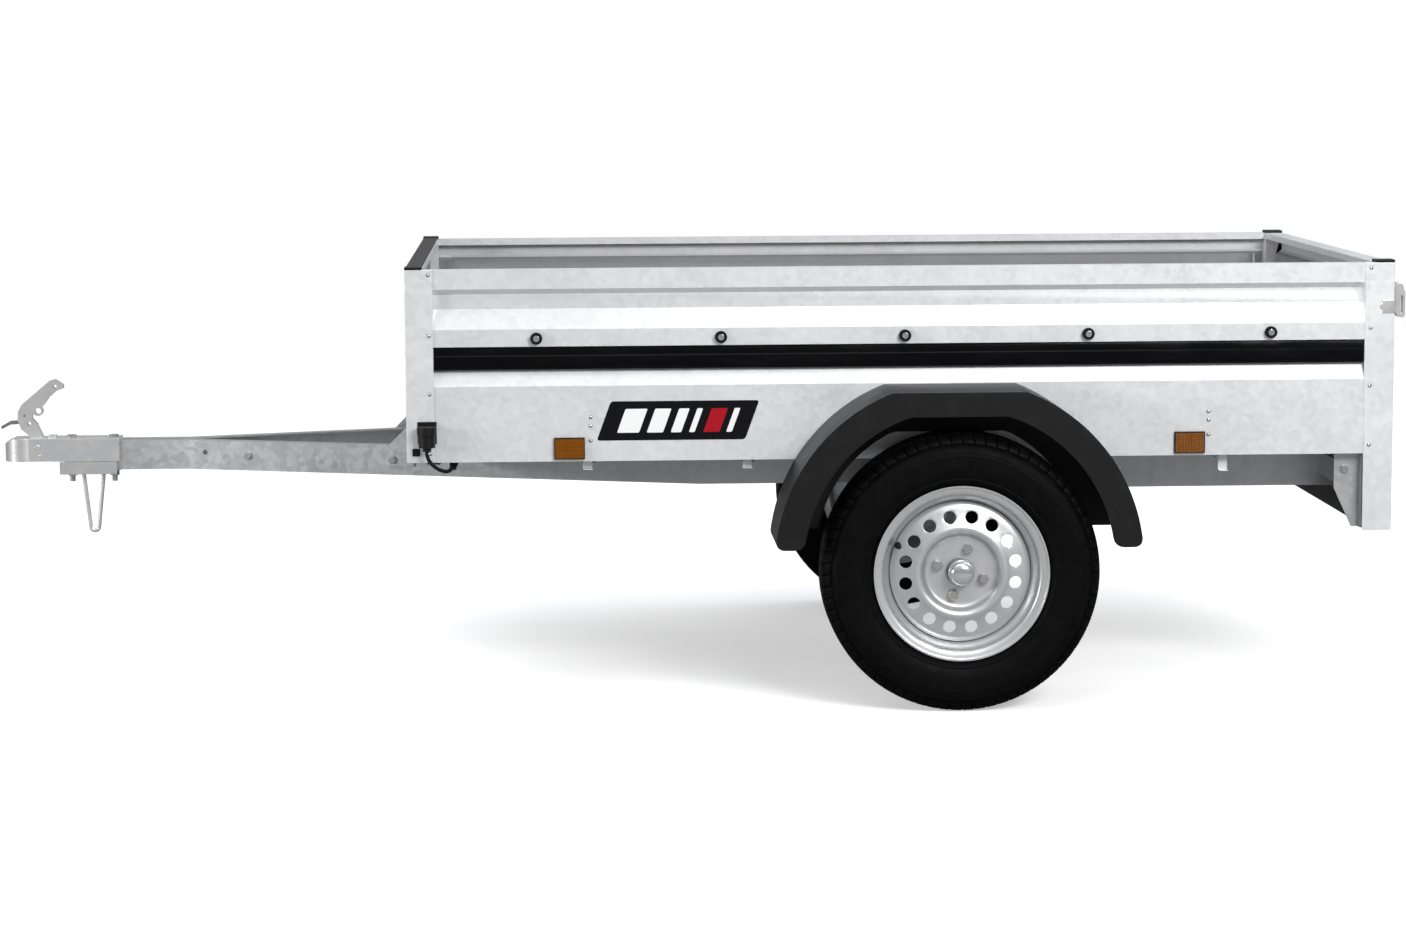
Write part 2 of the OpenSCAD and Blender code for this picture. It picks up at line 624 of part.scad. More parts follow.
coupling_top = coupling_bottom + coupling_h;
coupling_rear = -1806;
neck_x = -1949;
head_r = 38;
head_half = 33;
ball_z = coupling_bottom + 18;
pivot = [-1988, coupling_top - 19];
pivot_pin_r = 5;
jaw_pivot = [-1982, coupling_bottom + 13];
jaw_pin_r = 3;
handle_half = 8;
slot_half = handle_half + 1;
jaw_half = 11;
coupling_bolt_x = [-1915, -1821];
coupling_bolt_r = 6;
u_half = drawbar_width / 2 + coupling_t;
module coupling_body() placed() color("silver") {
    difference() {
        union() {
            intersection() {
                translate([0, 0, coupling_bottom]) linear_extrude(coupling_h) {
                    translate([-ball_x, 0]) circle(r = head_r);
                    translate([-ball_x, -head_half]) square([ball_x + neck_x + 2, 2 * head_half]);
                }
                upright(-60, 120) {
                    translate([-ball_x - head_r + 20, coupling_bottom]) square([200, coupling_h]);
                    translate([-ball_x - head_r + 20, coupling_top - 24]) circle(r = 22);
                    translate([-ball_x - head_r + 1, coupling_bottom]) square([30, coupling_h - 24]);
                }
            }
            translate([neck_x, -u_half, coupling_bottom]) cube([coupling_rear - neck_x, 2 * u_half, coupling_h]);
            translate([-1967, -15, coupling_top - 1]) cube([19, 30, 6]);
        }
        translate([-ball_x, 0, ball_z]) sphere(r = ball_d / 2 + gap);
        translate([-ball_x, 0, coupling_bottom - 1]) cylinder(r = ball_d / 2 + gap, h = ball_z - coupling_bottom + 1);
        translate([-2012, -slot_half, jaw_pivot[1] + 6]) cube([65, 2 * slot_half, 60]);
        translate([-2008, -jaw_half - 1, coupling_bottom - 1]) cube([41, 2 * jaw_half + 2, 23]);
        translate([neck_x + coupling_t + 8, -drawbar_width / 2, coupling_bottom - 1])
            cube([200, drawbar_width, beam_top - coupling_bottom + 1]);
        for (x = coupling_bolt_x) translate([x, 0, coupling_bottom]) cylinder(r = coupling_bolt_r + gap, h = 2 * coupling_h);
        y_cylinder(pivot[0], -60, pivot[1], pivot_pin_r, 120);
        y_cylinder(jaw_pivot[0], -60, jaw_pivot[1], jaw_pin_r, 120);
    }
    y_cylinder(pivot[0], -head_half - 2, pivot[1], pivot_pin_r, 2 * head_half + 4);
    y_cylinder(jaw_pivot[0], -head_half - 1, jaw_pivot[1], jaw_pin_r, 2 * head_half + 2);
}

// Handle: a channel pressing that is raised in the open position
handle_outline = [[-2003, 488], [-2008, 510], [-2026, 526], [-2034, 546], [-2033, 566], [-2024, 582], [-1962, 634],
    [-1948, 638], [-1931, 626], [-1930, 618], [-1946, 612], [-1962, 598], [-1976, 579], [-1998, 562], [-2002, 552],
    [-1990, 538], [-1977, 508], [-1974, 488]];
handle_ear = [-1988, 567];
handle_eye_r = 7;
catch_pivot = [-2018, 557];
catch_pin_r = 2.5;
handle_t = 2.5;
module coupling_handle() placed() color("silver") difference() {
    union() {
        upright(-handle_half, 2 * handle_half) polygon(handle_outline);
        y_cylinder(pivot[0], -handle_half, pivot[1], 13, 2 * handle_half);
        y_cylinder(handle_ear[0], -handle_half, handle_ear[1], handle_eye_r + 4, 2 * handle_half);
    }
    upright(-handle_half + handle_t, 2 * (handle_half - handle_t)) intersection() {
        translate([2.6, -2.6]) polygon(handle_outline);
        translate([-2040, 530]) square([95, 96]);
    }
    y_cylinder(pivot[0], -30, pivot[1], pivot_pin_r + running, 60);
    y_cylinder(handle_ear[0], -30, handle_ear[1], handle_eye_r, 60);
    y_cylinder(catch_pivot[0], -30, catch_pivot[1], catch_pin_r + running, 60);
    y_cylinder(-2008, -30, 539, 4, 60);
    y_cylinder(-1949, -30, 622, 4, 60);
    translate([-2045, -catch_half - gap, 534]) cube([26, 2 * (catch_half + gap), 20]);
}

// Safety catch: a sprung blade on its pin across the handle's channel
catch_half = 4;
module safety_catch() placed() color("gray") {
    difference() {
        upright(-catch_half, 2 * catch_half) {
            translate(catch_pivot) circle(r = 6.5);
            polygon([catch_pivot + [-6, 3], catch_pivot + [5, -4], [-2014, 545], [-2030, 538], [-2050, 537], [nose_x + 3, 527],
                [nose_x, 531], [nose_x + 2, 534], [-2050, 545], [-2034, 546]]);
        }
    }
    y_cylinder(catch_pivot[0], -handle_half - 1.5, catch_pivot[1], catch_pin_r, 2 * handle_half + 3);
}

// Ball jaw: the cam behind the ball that the handle swings forward
module ball_jaw() placed() color("gray") difference() {
    upright(-jaw_half, 2 * jaw_half) translate(jaw_pivot)
        polygon([[-5, 4.5], [5, 4.5], [8, -2], [6, -7], [-4, -11], [-15, -12.5], [-18, -9], [-12, -2]]);
    y_cylinder(jaw_pivot[0], -30, jaw_pivot[1], jaw_pin_r + running, 60);
}

// Clamp bracket under the drawbar, the support rod in it, and the bolts through everything
clamp_front = -1939;
clamp_rear = -1812;
clamp_z = coupling_bottom - 29;
module coupling_clamp() placed() color("silver") difference() {
    along_x(clamp_front, clamp_rear - clamp_front)
        polygon([[-u_half, clamp_z], [-u_half, coupling_bottom - 1], [-u_half + 3, coupling_bottom - 1], [-u_half + 3, beam_bottom],
            [u_half - 3, beam_bottom], [u_half - 3, coupling_bottom - 1], [u_half, coupling_bottom - 1], [u_half, clamp_z],
            [u_half - 3, clamp_z], [u_half - 3, beam_bottom - 5], [-u_half + 3, beam_bottom - 5], [-u_half + 3, clamp_z]]);
    for (x = coupling_bolt_x) translate([x, 0, clamp_z - 1]) cylinder(r = coupling_bolt_r + gap, h = 40);
}
rod_x = -1868;
rod_spread = 23;
rod_bend = 9;
rod_centre_z = rod_bottom + rod_d / 2 + rod_bend;
rod_rise = beam_bottom - 5 - rod_centre_z;
rod_lean = atan2(rod_spread, rod_rise) - asin(rod_bend / norm([rod_spread, rod_rise]));
function rod_line(s) = [for (i = [0 : 8]) let (t = i / 8,
    foot = [rod_bend * cos(rod_lean), rod_centre_z - rod_bend * sin(rod_lean)], top = [rod_spread, beam_bottom - 5 - rod_d / 2 * sin(rod_lean)])
    [rod_x + s * (foot[0] + t * (top[0] - foot[0])), 0, foot[1] + t * (top[1] - foot[1])]];
rod_arc = [for (p = arc([rod_x, rod_centre_z], rod_bend, 180 + rod_lean, 360 - rod_lean, 12)) [p[0], 0, p[1]]];
module support_rod() placed() color("silver")
    swept_tube(concat(reversed(rod_line(-1)), [for (i = [1 : 11]) rod_arc[i]], rod_line(1)), rod_d / 2, 12);
module coupling_bolts() placed() color("gainsboro")
    for (x = coupling_bolt_x) translate([x, 0, 0]) {
        translate([0, 0, clamp_z - 19]) cylinder(r = coupling_bolt_r, h = coupling_top - clamp_z + 19 + 1);
        translate([0, 0, coupling_top]) cylinder(r = 10.5, h = 6, $fn = 6);
        difference() {
            translate([0, 0, beam_bottom - 5 - 11]) cylinder(r = 10.5, h = 10.7, $fn = 6);
            translate([0, 0, clamp_z - 20]) cylinder(r = coupling_bolt_r + 0.02, h = 60);
        }
    }

// ---------------------------------------------------------------- lead and plug

plug_at = [-1100, -(half_w + 21)];
plug_r = 17.5;
plug_z = panel_bottom + 34;
module plug_holder() placed() color("black") {
    translate([plug_at[0] - 20, -(half_w + 2.5), plug_z + 6]) cube([40, 2.5, 46]);
    difference() {
        translate([plug_at[0], plug_at[1], plug_z + 26]) cylinder(r = plug_r + 3, h = 18);
        translate([plug_at[0], plug_at[1], plug_z + 20]) cylinder(r = plug_r + gap, h = 21);
    }
}
module connector_plug() placed() color("black") translate([plug_at[0], plug_at[1], plug_z]) {
    cylinder(r = plug_r, h = 40.5);
    translate([0, 0, -8]) cylinder(r = 9, h = 9);
}
lead_r = 4;
lead_route = [[-1100, -636, 537], [-1100, -636, 529], [-1096, -636, 518], [-1088, -634, 508], [-1078, -631, 500],
    [-1068, -625, 495], [-1059, -616, 493], [-1052, -605, 495], [-1049, -594, 499], [-1048, -583, 500], [-1048, -571, 500],
    [-1047, -545, 498], [-1046, -515, 494], [-1045, -480, 490], [-1045, -445, 488], [-1045, -410, 487], [-1045, -375, 486],
    [-1045, -340, 485], [-1045, -305, 484], [-1045, -275, 484], [-1045, -250, 484]];
lead_ref = unit([1, -3, 1]);
function tangent(p, i) = unit(p[min(i + 1, len(p) - 1)] - p[max(i - 1, 0)]);
function lead_ring(p, i, r, sides) = let (t = tangent(p, i), u = unit(cross(t, lead_ref)), v = cross(t, u))
    [for (k = [0 : sides - 1]) p[i] + r * (cos(360 * k / sides) * u + sin(360 * k / sides) * v)];
module swept_tube(p, r, sides = 10) {
    n = len(p);
    points = [for (i = [0 : n - 1]) each lead_ring(p, i, r, sides)];
    faces = concat([[for (k = [0 : sides - 1]) sides - 1 - k]],
        [for (i = [0 : n - 2], k = [0 : sides - 1]) [i * sides + k, i * sides + (k + 1) % sides, (i + 1) * sides + (k + 1) % sides]],
        [for (i = [0 : n - 2], k = [0 : sides - 1]) [i * sides + k, (i + 1) * sides + (k + 1) % sides, (i + 1) * sides + k]],
        [[for (k = [0 : sides - 1]) (n - 1) * sides + k]]);
    polyhedron(points, faces);
}
module supply_lead() placed() color("black") swept_tube(lead_route, lead_r);
module lead_clips() placed() color("black") {
    difference() {
        translate([-1055, -583, 492]) cube([14, 12, 19]);
        translate([-1048, -600, 500]) rotate([-90, 0, 0]) cylinder(r = lead_r + 0.4, h = 60);
    }
}

// ---------------------------------------------------------------- tailgate hinges and latches

hinge_x = gate_rear + 10;
hinge_z = gate_bottom - 6;
hinge_r = 9;
hinge_pin_r = 5;
hinge_half = 13.7;
hinge_places = [-320, 0, 320];
module hinge_leaves() placed() color("gainsboro") for (y = hinge_places) {
    difference() {
        for (s = [0, 1]) upright(s ? y + hinge_half + gap : y - hinge_half - gap - 16, 16) {
            polygon([[board_rear, board_top - 14], [board_rear + 3, board_top - 14], [hinge_x + 2, hinge_z - hinge_r + 1], [hinge_x - 2, hinge_z + 2], [board_rear, board_top - 2]]);
            translate([hinge_x, hinge_z]) circle(r = hinge_r);
        }
        y_cylinder(hinge_x, y - 60, hinge_z, hinge_pin_r + running, 120);
    }
    translate([board_rear, y - 30, board_top - 14]) cube([3, 60, 12]);
}
module hinge_straps() placed() color("gainsboro") for (y = hinge_places) {
    upright(y - hinge_half, 2 * hinge_half) {
        translate([gate_rear, gate_bottom + 1]) square([3, 64]);
        difference() {
            translate([hinge_x, hinge_z]) circle(r = hinge_r);
            translate([hinge_x, hinge_z]) circle(r = hinge_pin_r - 0.5);
        }
        translate([gate_rear, gate_bottom - 4]) square([6, 10]);
    }
    y_cylinder(hinge_x, y - 33, hinge_z, hinge_pin_r, 66);
}

latch_z = wall_top - 52;
latch_x = gate_rear + 10;
latch_pin_r = 4;
latch_in = gate_half - 46;
latch_y = half_w - 22;
module latch_bases() placed() color("gainsboro") on_both_sides() {
    difference() {
        union() {
            translate([gate_rear, latch_in, latch_z - 34]) cube([2.5, 40, 52]);
            upright(latch_in + 8, 5) polygon([[gate_rear, latch_z - 14], [latch_x + 8, latch_z - 4], [latch_x + 8, latch_z + 6],
                [gate_rear, latch_z + 14]]);
            upright(latch_in + 28, 5) polygon([[gate_rear, latch_z - 14], [latch_x + 8, latch_z - 4], [latch_x + 8, latch_z + 6],
                [gate_rear, latch_z + 14]]);
        }
        y_cylinder(latch_x, latch_in, latch_z, latch_pin_r + running, 60);
    }
}
lever_w = 20;
module latch_lever() {
    y_cylinder(latch_x, latch_in + 6, latch_z, latch_pin_r, latch_y - latch_in);
    upright(latch_y, lever_w) difference() {
        union() {
            translate([latch_x, latch_z]) circle(r = 9);
            polygon([[latch_x - 9, latch_z], [latch_x - 9, latch_z - 52], [latch_x - 3, latch_z - 62], [latch_x + 9, latch_z - 64],
                [tail_x, latch_z - 58], [tail_x, latch_z - 12], [latch_x + 7, latch_z + 5]]);
        }
        translate([latch_x + 3, latch_z - 54]) square([5, 36]);
    }
}
module latch_lever_left() placed() color("silver") on_side(-1) latch_lever();
module latch_lever_right() placed() color("silver") on_side(1) latch_lever();
module latch_keepers() placed() color("gainsboro") on_both_sides()
    translate([0, half_w + 2, 0]) rotate([90, 0, 0]) linear_extrude(2) {
        translate([box_rear - 25, latch_z - 54]) square([25.5, 27]);
        translate([box_rear - 25, latch_z - 40]) circle(r = 6);
    }

// ---------------------------------------------------------------- fasteners and hooks

rivet_r = 3.4;
rivet_z = [wall_top - 11, wall_top - 137, wall_top - 259, wall_top - 384];
module rivet(x, y, z) {
    y_cylinder(x, y, z, rivet_r, 1.6);
}
module rivets() placed() color("silver") on_both_sides() {
    for (x = [-box_front + front_post_w - 9, box_rear - rear_post_w + 12], z = rivet_z) rivet(x, half_w, z);
    for (x = [reflector_x[0] + 76, reflector_x[1] + 72], z = [92, 74, 43]) rivet(x, skin_y, panel_bottom + z);
}

module hex_bolt(r, grip) {
    cylinder(r = 1.75 * r, h = 1.2 * r, $fn = 6);
    translate([0, 0, -grip - 9]) cylinder(r = r, h = grip + 10);
    difference() {
        translate([0, 0, -grip - 7]) cylinder(r = 1.75 * r, h = 6.8, $fn = 6);
        translate([0, 0, -grip - 10]) cylinder(r = r + 0.02, h = 12);
    }
}
tie_bolt_x = -1516;
module frame_bolts() placed() color("gainsboro") on_both_sides() {
    beam_web_place(gusset_x0 + 9, gusset_bolt_z) translate([0, gusset_t, 0]) rotate([-90, 0, 0]) hex_bolt(5, gusset_t + beam_t);
    beam_web_place(tie_bolt_x, gusset_bolt_z) rotate([-90, 0, 0]) hex_bolt(5, beam_t);
    translate([bracket_bolt[0], bracket_y + gusset_t, bracket_bolt[1]]) rotate([-90, 0, 0]) hex_bolt(5, gusset_t);
    for (a = [38, 62, 118, 142])
        y_cylinder(guard_x + (guard_r - 11) * cos(a), guard_y + guard_t, guard_z + (guard_r - 11) * sin(a), 5, 4);
}

hook_t = 1.8;
module lashing_hooks() placed() color("gainsboro") on_both_sides()
    for (i = [0 : cross_count - 1]) {
        drop = i == cross_count - 1 ? 36 : 20;
        translate([cross_x(i) - 10, cross_half, panel_bottom - drop]) cube([20, hook_t, drop + 20]);
        translate([cross_x(i) - 10, cross_half, panel_bottom - drop]) cube([20, 18, hook_t]);
    }

drawbar_beam_left();
drawbar_beam_right();
rear_rails();
cross_members();
frame_gussets();
light_board();
number_plate_holder();
tail_light_housings();
tail_light_lenses();
floor_panel();
side_wall_left();
side_wall_right();
front_wall();
front_posts();
rear_posts();
plastic_caps();
side_strips();
tarp_buttons();
tarp_button_screws();
side_reflectors();
mudguard_left();
mudguard_right();
axle_tube();
axle_brackets();
coupling_body();
coupling_clamp();
support_rod();
coupling_bolts();
connector_plug();
plug_holder();
supply_lead();
lead_clips();
hinge_leaves();
latch_keepers();
rivets();
frame_bolts();
lashing_hooks();
tailgate_panel();
hinge_straps();
latch_bases();
latch_lever_left();
latch_lever_right();
coupling_handle();
safety_catch();
ball_jaw();
torsion_arm_left();
torsion_arm_right();
rim_left();
rim_right();
tyre_left();
tyre_right();
hub_left();
hub_right();
wheel_bearings_left();
wheel_bearings_right();
wheel_bolts_left();
wheel_bolts_right();
grease_cap_left();
grease_cap_right();
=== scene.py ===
"""A small single-axle box trailer: galvanised sheet sides on a V drawbar, and a tailgate."""

import math

import bmesh
import bpy
from mathutils import Matrix, Vector


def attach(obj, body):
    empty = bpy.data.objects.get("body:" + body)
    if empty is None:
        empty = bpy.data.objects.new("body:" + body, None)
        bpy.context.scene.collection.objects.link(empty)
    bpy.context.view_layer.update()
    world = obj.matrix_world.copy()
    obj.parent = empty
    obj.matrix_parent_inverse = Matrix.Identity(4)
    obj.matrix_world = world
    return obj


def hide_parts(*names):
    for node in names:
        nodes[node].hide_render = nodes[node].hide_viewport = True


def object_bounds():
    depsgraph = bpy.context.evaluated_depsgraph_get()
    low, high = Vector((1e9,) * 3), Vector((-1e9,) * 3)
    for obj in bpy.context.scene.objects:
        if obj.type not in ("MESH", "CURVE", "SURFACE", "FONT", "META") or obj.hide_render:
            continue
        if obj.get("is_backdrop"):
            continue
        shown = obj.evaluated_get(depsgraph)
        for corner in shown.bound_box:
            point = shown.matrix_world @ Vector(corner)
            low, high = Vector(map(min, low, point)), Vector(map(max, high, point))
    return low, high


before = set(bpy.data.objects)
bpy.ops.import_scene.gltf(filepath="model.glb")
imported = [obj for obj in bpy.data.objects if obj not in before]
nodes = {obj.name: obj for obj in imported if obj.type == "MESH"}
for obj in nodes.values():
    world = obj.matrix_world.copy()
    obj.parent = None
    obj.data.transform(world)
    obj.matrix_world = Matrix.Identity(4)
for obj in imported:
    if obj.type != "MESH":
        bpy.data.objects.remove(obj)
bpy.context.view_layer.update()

# ------------------------------------------------------------------------------------- the camera
# It stands 8 m to the left of the trailer's middle line, a little above the walls, and looks
# slightly down and slightly towards the tailgate.

CAMERA_PLACE = (-0.283, -8.231, 1.3839)
CAMERA_TURN = (2.391, -6.663, -0.315)


def added(name, data):
    """A new object in the scene."""
    made = bpy.data.objects.new(name, data)
    bpy.context.scene.collection.objects.link(made)
    return made


camera_data = bpy.data.cameras.new("camera")
camera_data.lens = 93.97
camera_data.sensor_width = 36
camera_data.clip_end = 200
camera = added("camera", camera_data)
bpy.context.scene.camera = camera
yaw, pitch, roll = (math.radians(a) for a in CAMERA_TURN)
ahead = Vector((math.sin(yaw) * math.cos(pitch), math.cos(yaw) * math.cos(pitch), math.sin(pitch)))
level = Vector((math.cos(yaw), -math.sin(yaw), 0))
upright = level.cross(ahead)
right = level * math.cos(roll) + upright * math.sin(roll)
upward = upright * math.cos(roll) - level * math.sin(roll)
turned = Matrix((right, upward, -ahead)).transposed().to_4x4()
camera.matrix_world = Matrix.Translation(CAMERA_PLACE) @ turned

# --------------------------------------------------------------------------------------- the lead
# The supply lead is an 8 mm rubber cable with seven cores. It comes out of the left drawbar beam,
# passes a clip under the floor and hangs in a loop up into the plug, which is parked in a holder
# on the front post.


class Shade:
    """A value, colour or vector among a material's nodes. Sums on it add Math nodes."""

    def __init__(self, tree, socket=None):
        self.tree, self.socket = tree, socket

    def node(self, kind, values=None, out=0, stops=None, **settings):
        """Makes any other node: its settings, a ramp's stops, then its sockets' values or links."""
        made = self.tree.nodes.new("ShaderNode" + kind)
        for name, setting in settings.items():
            setattr(made, name, setting)
        for i, (at, grey) in enumerate(stops or []):
            stop = made.color_ramp.elements[i] if i < 2 else made.color_ramp.elements.new(at)
            stop.position = at
            stop.color = (grey, grey, grey, 1)
        for key, value in (values or {}).items():
            if isinstance(value, Shade):
                self.tree.links.new(value.socket, made.inputs[key])
            else:
                made.inputs[key].default_value = value
        return Shade(self.tree, made.outputs[out])

    def maths(self, operation, *values):
        """A Math node on values, which are Shades or numbers."""
        return self.node("Math", dict(enumerate(values)), operation=operation)

    def __add__(self, other):
        return self.maths("ADD", self, other)

    def __sub__(self, other):
        return self.maths("SUBTRACT", self, other)

    def __rsub__(self, other):
        return self.maths("SUBTRACT", other, self)

    def __mul__(self, other):
        return self.maths("MULTIPLY", self, other)

    def __truediv__(self, other):
        return self.maths("DIVIDE", self, other)

    def __gt__(self, other):
        return self.maths("GREATER_THAN", self, other)

    def __lt__(self, other):
        return self.maths("LESS_THAN", self, other)

    __radd__ = __add__
    __rmul__ = __mul__

    def clipped(self, low, high):
        """0 at low, 1 at high, and straight in between."""
        return self.node("MapRange", {0: self, 1: low, 2: high, 3: 0.0, 4: 1.0})

    def axis(self, name):
        """One of a vector's three numbers."""
        return self.node("SeparateXYZ", {0: self}, out=name)

    def noise(self, scale, detail=2.0, roughness=0.5, distortion=0.0):
        """Soft noise about 0.5, with self as the place."""
        values = {"Vector": self, "Scale": scale, "Detail": detail, "Roughness": roughness}
        return self.node("TexNoise", {**values, "Distortion": distortion})

    def stretched(self, x, y, z):
        """A place scaled along its three axes."""
        return self.node("VectorMath", {0: self, 1: (x, y, z)}, operation="MULTIPLY")

    def between(self, first, second):
        """The colour first where self is 0 and second where it is 1."""
        first, second = ((*c, 1) if isinstance(c, tuple) else c for c in (first, second))
        return self.node("Mix", {0: self, 6: first, 7: second}, out=2, data_type="RGBA")


class Finish:
    """A material with one shader. place is the Object coordinates that its patterns read."""

    def __init__(self, name, colour, roughness, metallic=0.0, **constants):
        self.material = bpy.data.materials.new(name)
        self.material.use_nodes = True
        tree = self.material.node_tree
        self.shader = tree.nodes["Principled BSDF"]
        self.place = Shade(tree).node("TexCoord", out="Object")
        self.set("Base Color", (*colour, 1))
        self.set("Roughness", roughness)
        self.set("Metallic", metallic)
        for name, value in constants.items():
            self.set(name.replace("_", " ").title().replace("Ior", "IOR"), value)

    def set(self, socket, value):
        if isinstance(value, Shade):
            self.place.tree.links.new(value.socket, self.shader.inputs[socket])
        else:
            self.shader.inputs[socket].default_value = value

    def bump(self, height, depth, strength=1.0):
        """Raises the surface by height times depth metres."""
        values = {"Height": height, "Distance": depth, "Strength": strength}
        self.set("Normal", self.place.node("Bump", values))

    def on(self, *names):
        """Puts the finish on CAD nodes."""
        for name in names:
            materials = nodes[name].data.materials
            materials.clear()
            materials.append(self.material)


def rubber(name, tone):
    """Black rubber, a little grey with dust in its lows."""
    made = Finish(name, (tone, tone, tone * 1.03), 0.6, specular_ior_level=0.06)
    dust = made.place.noise(38, 4).clipped(0.42, 0.75)
    dusty = (tone * 2.1, tone * 2.05, tone * 2)
    made.set("Base Color", dust.between((tone, tone, tone * 1.03), dusty))
    made.set("Roughness", 0.5 + dust * 0.25)
    made.bump(made.place.noise(900, 3) * 0.5 + made.place.noise(120, 2), 0.00025)
    return made


def piece(name, mesh, finish, body, smooth_angle=None):
    """Puts a finished mesh on its body, with its material, and shades it smooth if smooth_angle is
    given.
    """
    made = added(name, mesh)
    mesh.materials.clear()
    mesh.materials.append(finish.material)
    if smooth_angle is not None:
        mesh.shade_smooth()
        mesh.set_sharp_from_angle(angle=math.radians(smooth_angle))
    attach(made, body)
    return made


def as_mesh(work, name, outwards=False):
    """The plain mesh of a bmesh, which is used up. outwards turns every face outwards first."""
    if outwards:
        bmesh.ops.recalc_face_normals(work, faces=work.faces)
    mesh = bpy.data.meshes.new(name)
    work.to_mesh(mesh)
    work.free()
    return mesh


def circle(sides):
    """The angles of a ring of points."""
    return [2 * math.pi * k / sides for k in range(sides)]


def band(work, low, high):
    """The faces between two rings of vertices."""
    for k in range(len(low)):
        n = (k + 1) % len(low)
        work.faces.new((low[k], low[n], high[n], high[k]))


def tube(path, radius, sides):
    """A round tube's mesh along points, closed at both ends."""
    work = bmesh.new()
    rings = []
    for i, point in enumerate(path):
        along = (path[min(i + 1, len(path) - 1)] - path[max(i - 1, 0)]).normalized()
        across = along.cross(Vector((1, -3, 1)).normalized()).normalized()
        over = along.cross(across)
        spokes = [math.cos(t) * across + math.sin(t) * over for t in circle(sides)]
        rings.append([work.verts.new(point + radius * spoke) for spoke in spokes])
    for low, high in zip(rings, rings[1:]):
        band(work, low, high)
    work.faces.new(rings[0][::-1])
    work.faces.new(rings[-1])
    return as_mesh(work, "tube", outwards=True)


def smooth_path(points, steps):
    """A Catmull-Rom line through points, with steps pieces between each two."""
    ends = [2 * points[0] - points[1], *points, 2 * points[-1] - points[-2]]
    line = []
    for a, b, c, d in zip(ends, ends[1:], ends[2:], ends[3:]):
        for k in range(steps):
            t = k / steps
            bend, twist = 2 * a - 5 * b + 4 * c - d, 3 * b - a - 3 * c + d
            line.append(0.5 * (2 * b + (c - a) * t + bend * t**2 + twist * t**3))
    return [*line, points[-1]]


# Where the axle stands, from the middle of the whole trailer's length.
AXLE_X = 0.5605
lead_points = [
    Vector((x / 1000 + AXLE_X, y / 1000, z / 1000))
    for x, y, z in (
        (-1045, -250, 484), (-1045, -275, 484), (-1045, -305, 484), (-1045, -340, 485),
        (-1045, -375, 486), (-1045, -410, 487), (-1045, -445, 488), (-1045, -480, 490),
        (-1046, -515, 494), (-1047, -545, 498), (-1048, -571, 500), (-1048, -583, 500),
        (-1049, -594, 499), (-1052, -605, 495), (-1059, -616, 493), (-1068, -625, 495),
        (-1078, -631, 500), (-1088, -634, 508), (-1096, -636, 518), (-1100, -636, 529),
        (-1100, -636, 537),
    )
]
lead_line = smooth_path(lead_points, 3)
lead_radius = 0.004
cable_rubber = rubber("cable_rubber", 0.010)
lead_mesh = tube(lead_line, lead_radius, 16)
lead = piece("supply_lead_cable", lead_mesh, cable_rubber, "chassis", 60)
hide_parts("supply_lead")

# ------------------------------------------------------------------------------------- the studio
# A white studio: a pale matt floor that fades into white all round, one wide soft light overhead,
# one high on the camera's side, and weaker ones at the drawbar and behind the tailgate.

world = bpy.data.worlds.new("studio")
bpy.context.scene.world = world
world.use_nodes = True
sky = world.node_tree.nodes["Background"]
sky_place = Shade(world.node_tree).node("TexCoord", out="Generated").axis("Z")
room = sky_place.clipped(-0.25, 0.9).between((0.14, 0.14, 0.145), (0.68, 0.69, 0.71))
seen = Shade(world.node_tree).node("LightPath", out="Is Camera Ray")
world.node_tree.links.new(seen.between(room, (1.0, 1.0, 1.0)).socket, sky.inputs["Color"])
sky.inputs["Strength"].default_value = 1.0
bpy.context.scene.view_settings.view_transform = "Standard"

floor_work = bmesh.new()
bmesh.ops.create_circle(floor_work, cap_ends=True, radius=14.0, segments=96)
floor_data = as_mesh(floor_work, "studio_floor")
studio_floor = added("studio_floor", floor_data)
studio_floor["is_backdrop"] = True
floor_finish = Finish("studio_floor", (0.9, 0.9, 0.9), 0.9)
floor_seen = floor_finish.place.node("LightPath", out="Is Camera Ray")
floor_finish.set("Base Color", floor_seen.between((0.30, 0.30, 0.30), (0.97, 0.97, 0.97)))
floor_finish.set("Emission Color", floor_seen.between((0.0, 0.0, 0.0), (0.42, 0.42, 0.42)))
floor_finish.set("Emission Strength", 1.0)
floor_place = floor_finish.place
from_middle = floor_place.node("VectorMath", {0: floor_place}, out="Value", operation="LENGTH")
floor_finish.set("Alpha", 1 - from_middle.clipped(3.0, 12.0))
floor_data.materials.append(floor_finish.material)


def soft_light(name, place, aim, size, watts):
    """A wide square lamp at place that faces aim."""
    lamp = bpy.data.lights.new(name, "AREA")
    lamp.shape = "RECTANGLE"
    lamp.size, lamp.size_y = size
    lamp.energy = watts
    facing = (Vector(aim) - Vector(place)).to_track_quat("-Z", "Y")
    added(name, lamp).matrix_world = Matrix.Translation(place) @ facing.to_matrix().to_4x4()


soft_light("overhead_light", (-0.4, -1.2, 4.2), (0, 0, 0.5), (5.0, 3.0), 72)
soft_light("front_light", (2.6, -5.4, 3.4), (0.2, 0, 0.5), (2.4, 1.6), 255)
soft_light("nose_light", (-5.6, -2.6, 1.6), (-1.0, 0, 0.5), (1.6, 1.2), 140)
soft_light("rear_light", (4.5, 2.5, 2.8), (0, 0, 0.6), (2.5, 2.5), 40)

# -------------------------------------------------------------------------------------- the frame
# Two pressed steel channels run from the coupling to the box in a V, with rails, cross members
# and corner gussets under the floor and a folded light board behind. All of it is hot-dip
# galvanised after pressing.


# Below this height, the faces that look into the box get painted shade.
RAIL_FOOT = 0.868


